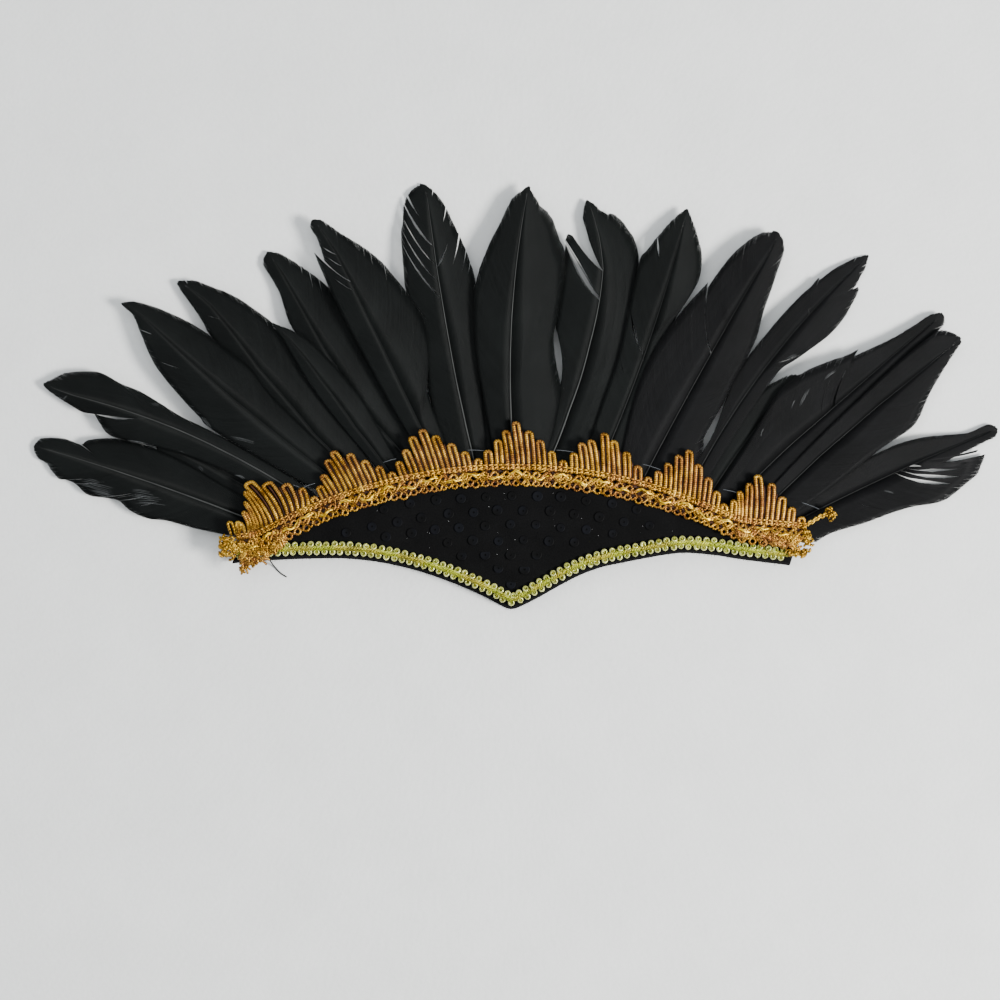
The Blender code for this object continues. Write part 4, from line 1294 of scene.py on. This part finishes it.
def add_sequins():
    """Flat foil discs with a hole and a low rim, sewn in staggered rows between the two trims."""
    ring = np.arange(16) * 2 * math.pi / 16
    radii = (0.10, 0.14, 0.40, 0.50, 0.50)
    heights = (0.00020, 0.00022, 0.00014, 0.00026, 0.00002)
    points = np.concatenate([
        np.column_stack([r * np.cos(ring), r * np.sin(ring), np.full(16, h / SEQUIN_WIDTH)]) for r, h in zip(radii, heights)
    ])
    i = np.arange(16)
    k = (i + 1) % 16
    faces = np.concatenate([np.stack([i + a, i + a + 16, k + a + 16, k + a], axis=-1) for a in (0, 16, 32, 48)])
    marks = np.column_stack([np.hypot(points[:, 0], points[:, 1]), points[:, 2]])
    places = []
    for row in range(-4, 7):
        for column in range(-12, 13):
            x = (column + 0.5 * (row % 2)) * SEQUIN_COLUMNS + dice.normal(0, 0.0004)
            y = row * SEQUIN_ROWS + dice.normal(0, 0.0003) - 1.6 * x * x
            head = float(np.interp(x, ARCH[1], ARCH[2]))
            if lower_edge(x, 0.0125) < y < head - 0.0025:
                lean = dice.normal(0, 0.012, 2)
                axis_z = np.array([lean[0], lean[1], 1.0]) / math.hypot(1.0, *lean)
                axis_x = np.cross((0.0, 1.0, 0.0), axis_z)
                axis_x /= np.linalg.norm(axis_x)
                axes = np.array([axis_x, np.cross(axis_z, axis_x), axis_z])
                places.append((draped(x, y, PANEL_TOP + 0.00008), axes, SEQUIN_WIDTH * dice.uniform(0.88, 1.08)))
    return finish_piece("sequins", copies(points, (faces,), marks, places), sequin_finish())


def add_specks():
    """Dust on the dark panel."""
    bpy.ops.object.select_all(action="DESELECT")
    bpy.ops.mesh.primitive_ico_sphere_add(subdivisions=1, radius=1, location=(0, 0, 0))
    grain = bpy.context.object
    points = np.array([v.co for v in grain.data.vertices]) * (1 + dice.normal(0, 0.25, (len(grain.data.vertices), 1)))
    faces = np.array([list(face.vertices) for face in grain.data.polygons])
    bpy.data.objects.remove(grain, do_unlink=True)
    places = []
    while len(places) < 26:
        x, y = dice.uniform(-0.12, 0.12), dice.uniform(-0.02, 0.040)
        head = float(np.interp(x, ARCH[1], ARCH[2]))
        if lower_edge(x, 0.0105) < y < head - 0.001:
            axes = np.diag([1.0, 0.8, 0.5])
            places.append((draped(x, y, PANEL_TOP + 0.0001), axes, dice.uniform(0.00007, 0.00020)))
    return finish_piece("dust_specks", copies(points, (faces,), points[:, :2], places), dust_finish())


def add_fibre():
    """One loose black fibre that has slipped from under the beads, and felt fuzz along the lower edge."""
    line = flow([(-0.1212, -0.0025), (-0.1190, -0.0060), (-0.1160, -0.0092), (-0.1128, -0.0113)], 0.0004)
    fall = smooth(-line[:, 1], 0.002, 0.007)
    z = 0.0045 + (0.0006 - 0.0045) * fall
    thread = np.column_stack([line[:, 0] + shift_x, line[:, 1] + shift_y, z])
    parts = [tube(thread, 0.00033, 6)]
    for i in range(260):
        x = dice.uniform(-HALF_BAND, HALF_BAND)
        turn = -math.pi / 2 + dice.normal(0, 0.9)
        reach = np.linspace(-0.0004, dice.uniform(0.0003, 0.0011), 4)
        bend = turn + reach * dice.normal(0, 500)
        y = lower_edge(np.array(x), 0.0)
        parts.append(tube(draped(x + np.cos(bend) * reach, y + np.sin(bend) * reach, dice.uniform(0.0003, 0.0012)), 0.00005, 3))
    return finish_piece("felt_fuzz", parts, thread_finish("black_fibre", (0.006, 0.006, 0.0065), (0.002, 0.002, 0.002), 0.8))


add_sequins()
add_specks()
add_fibre()
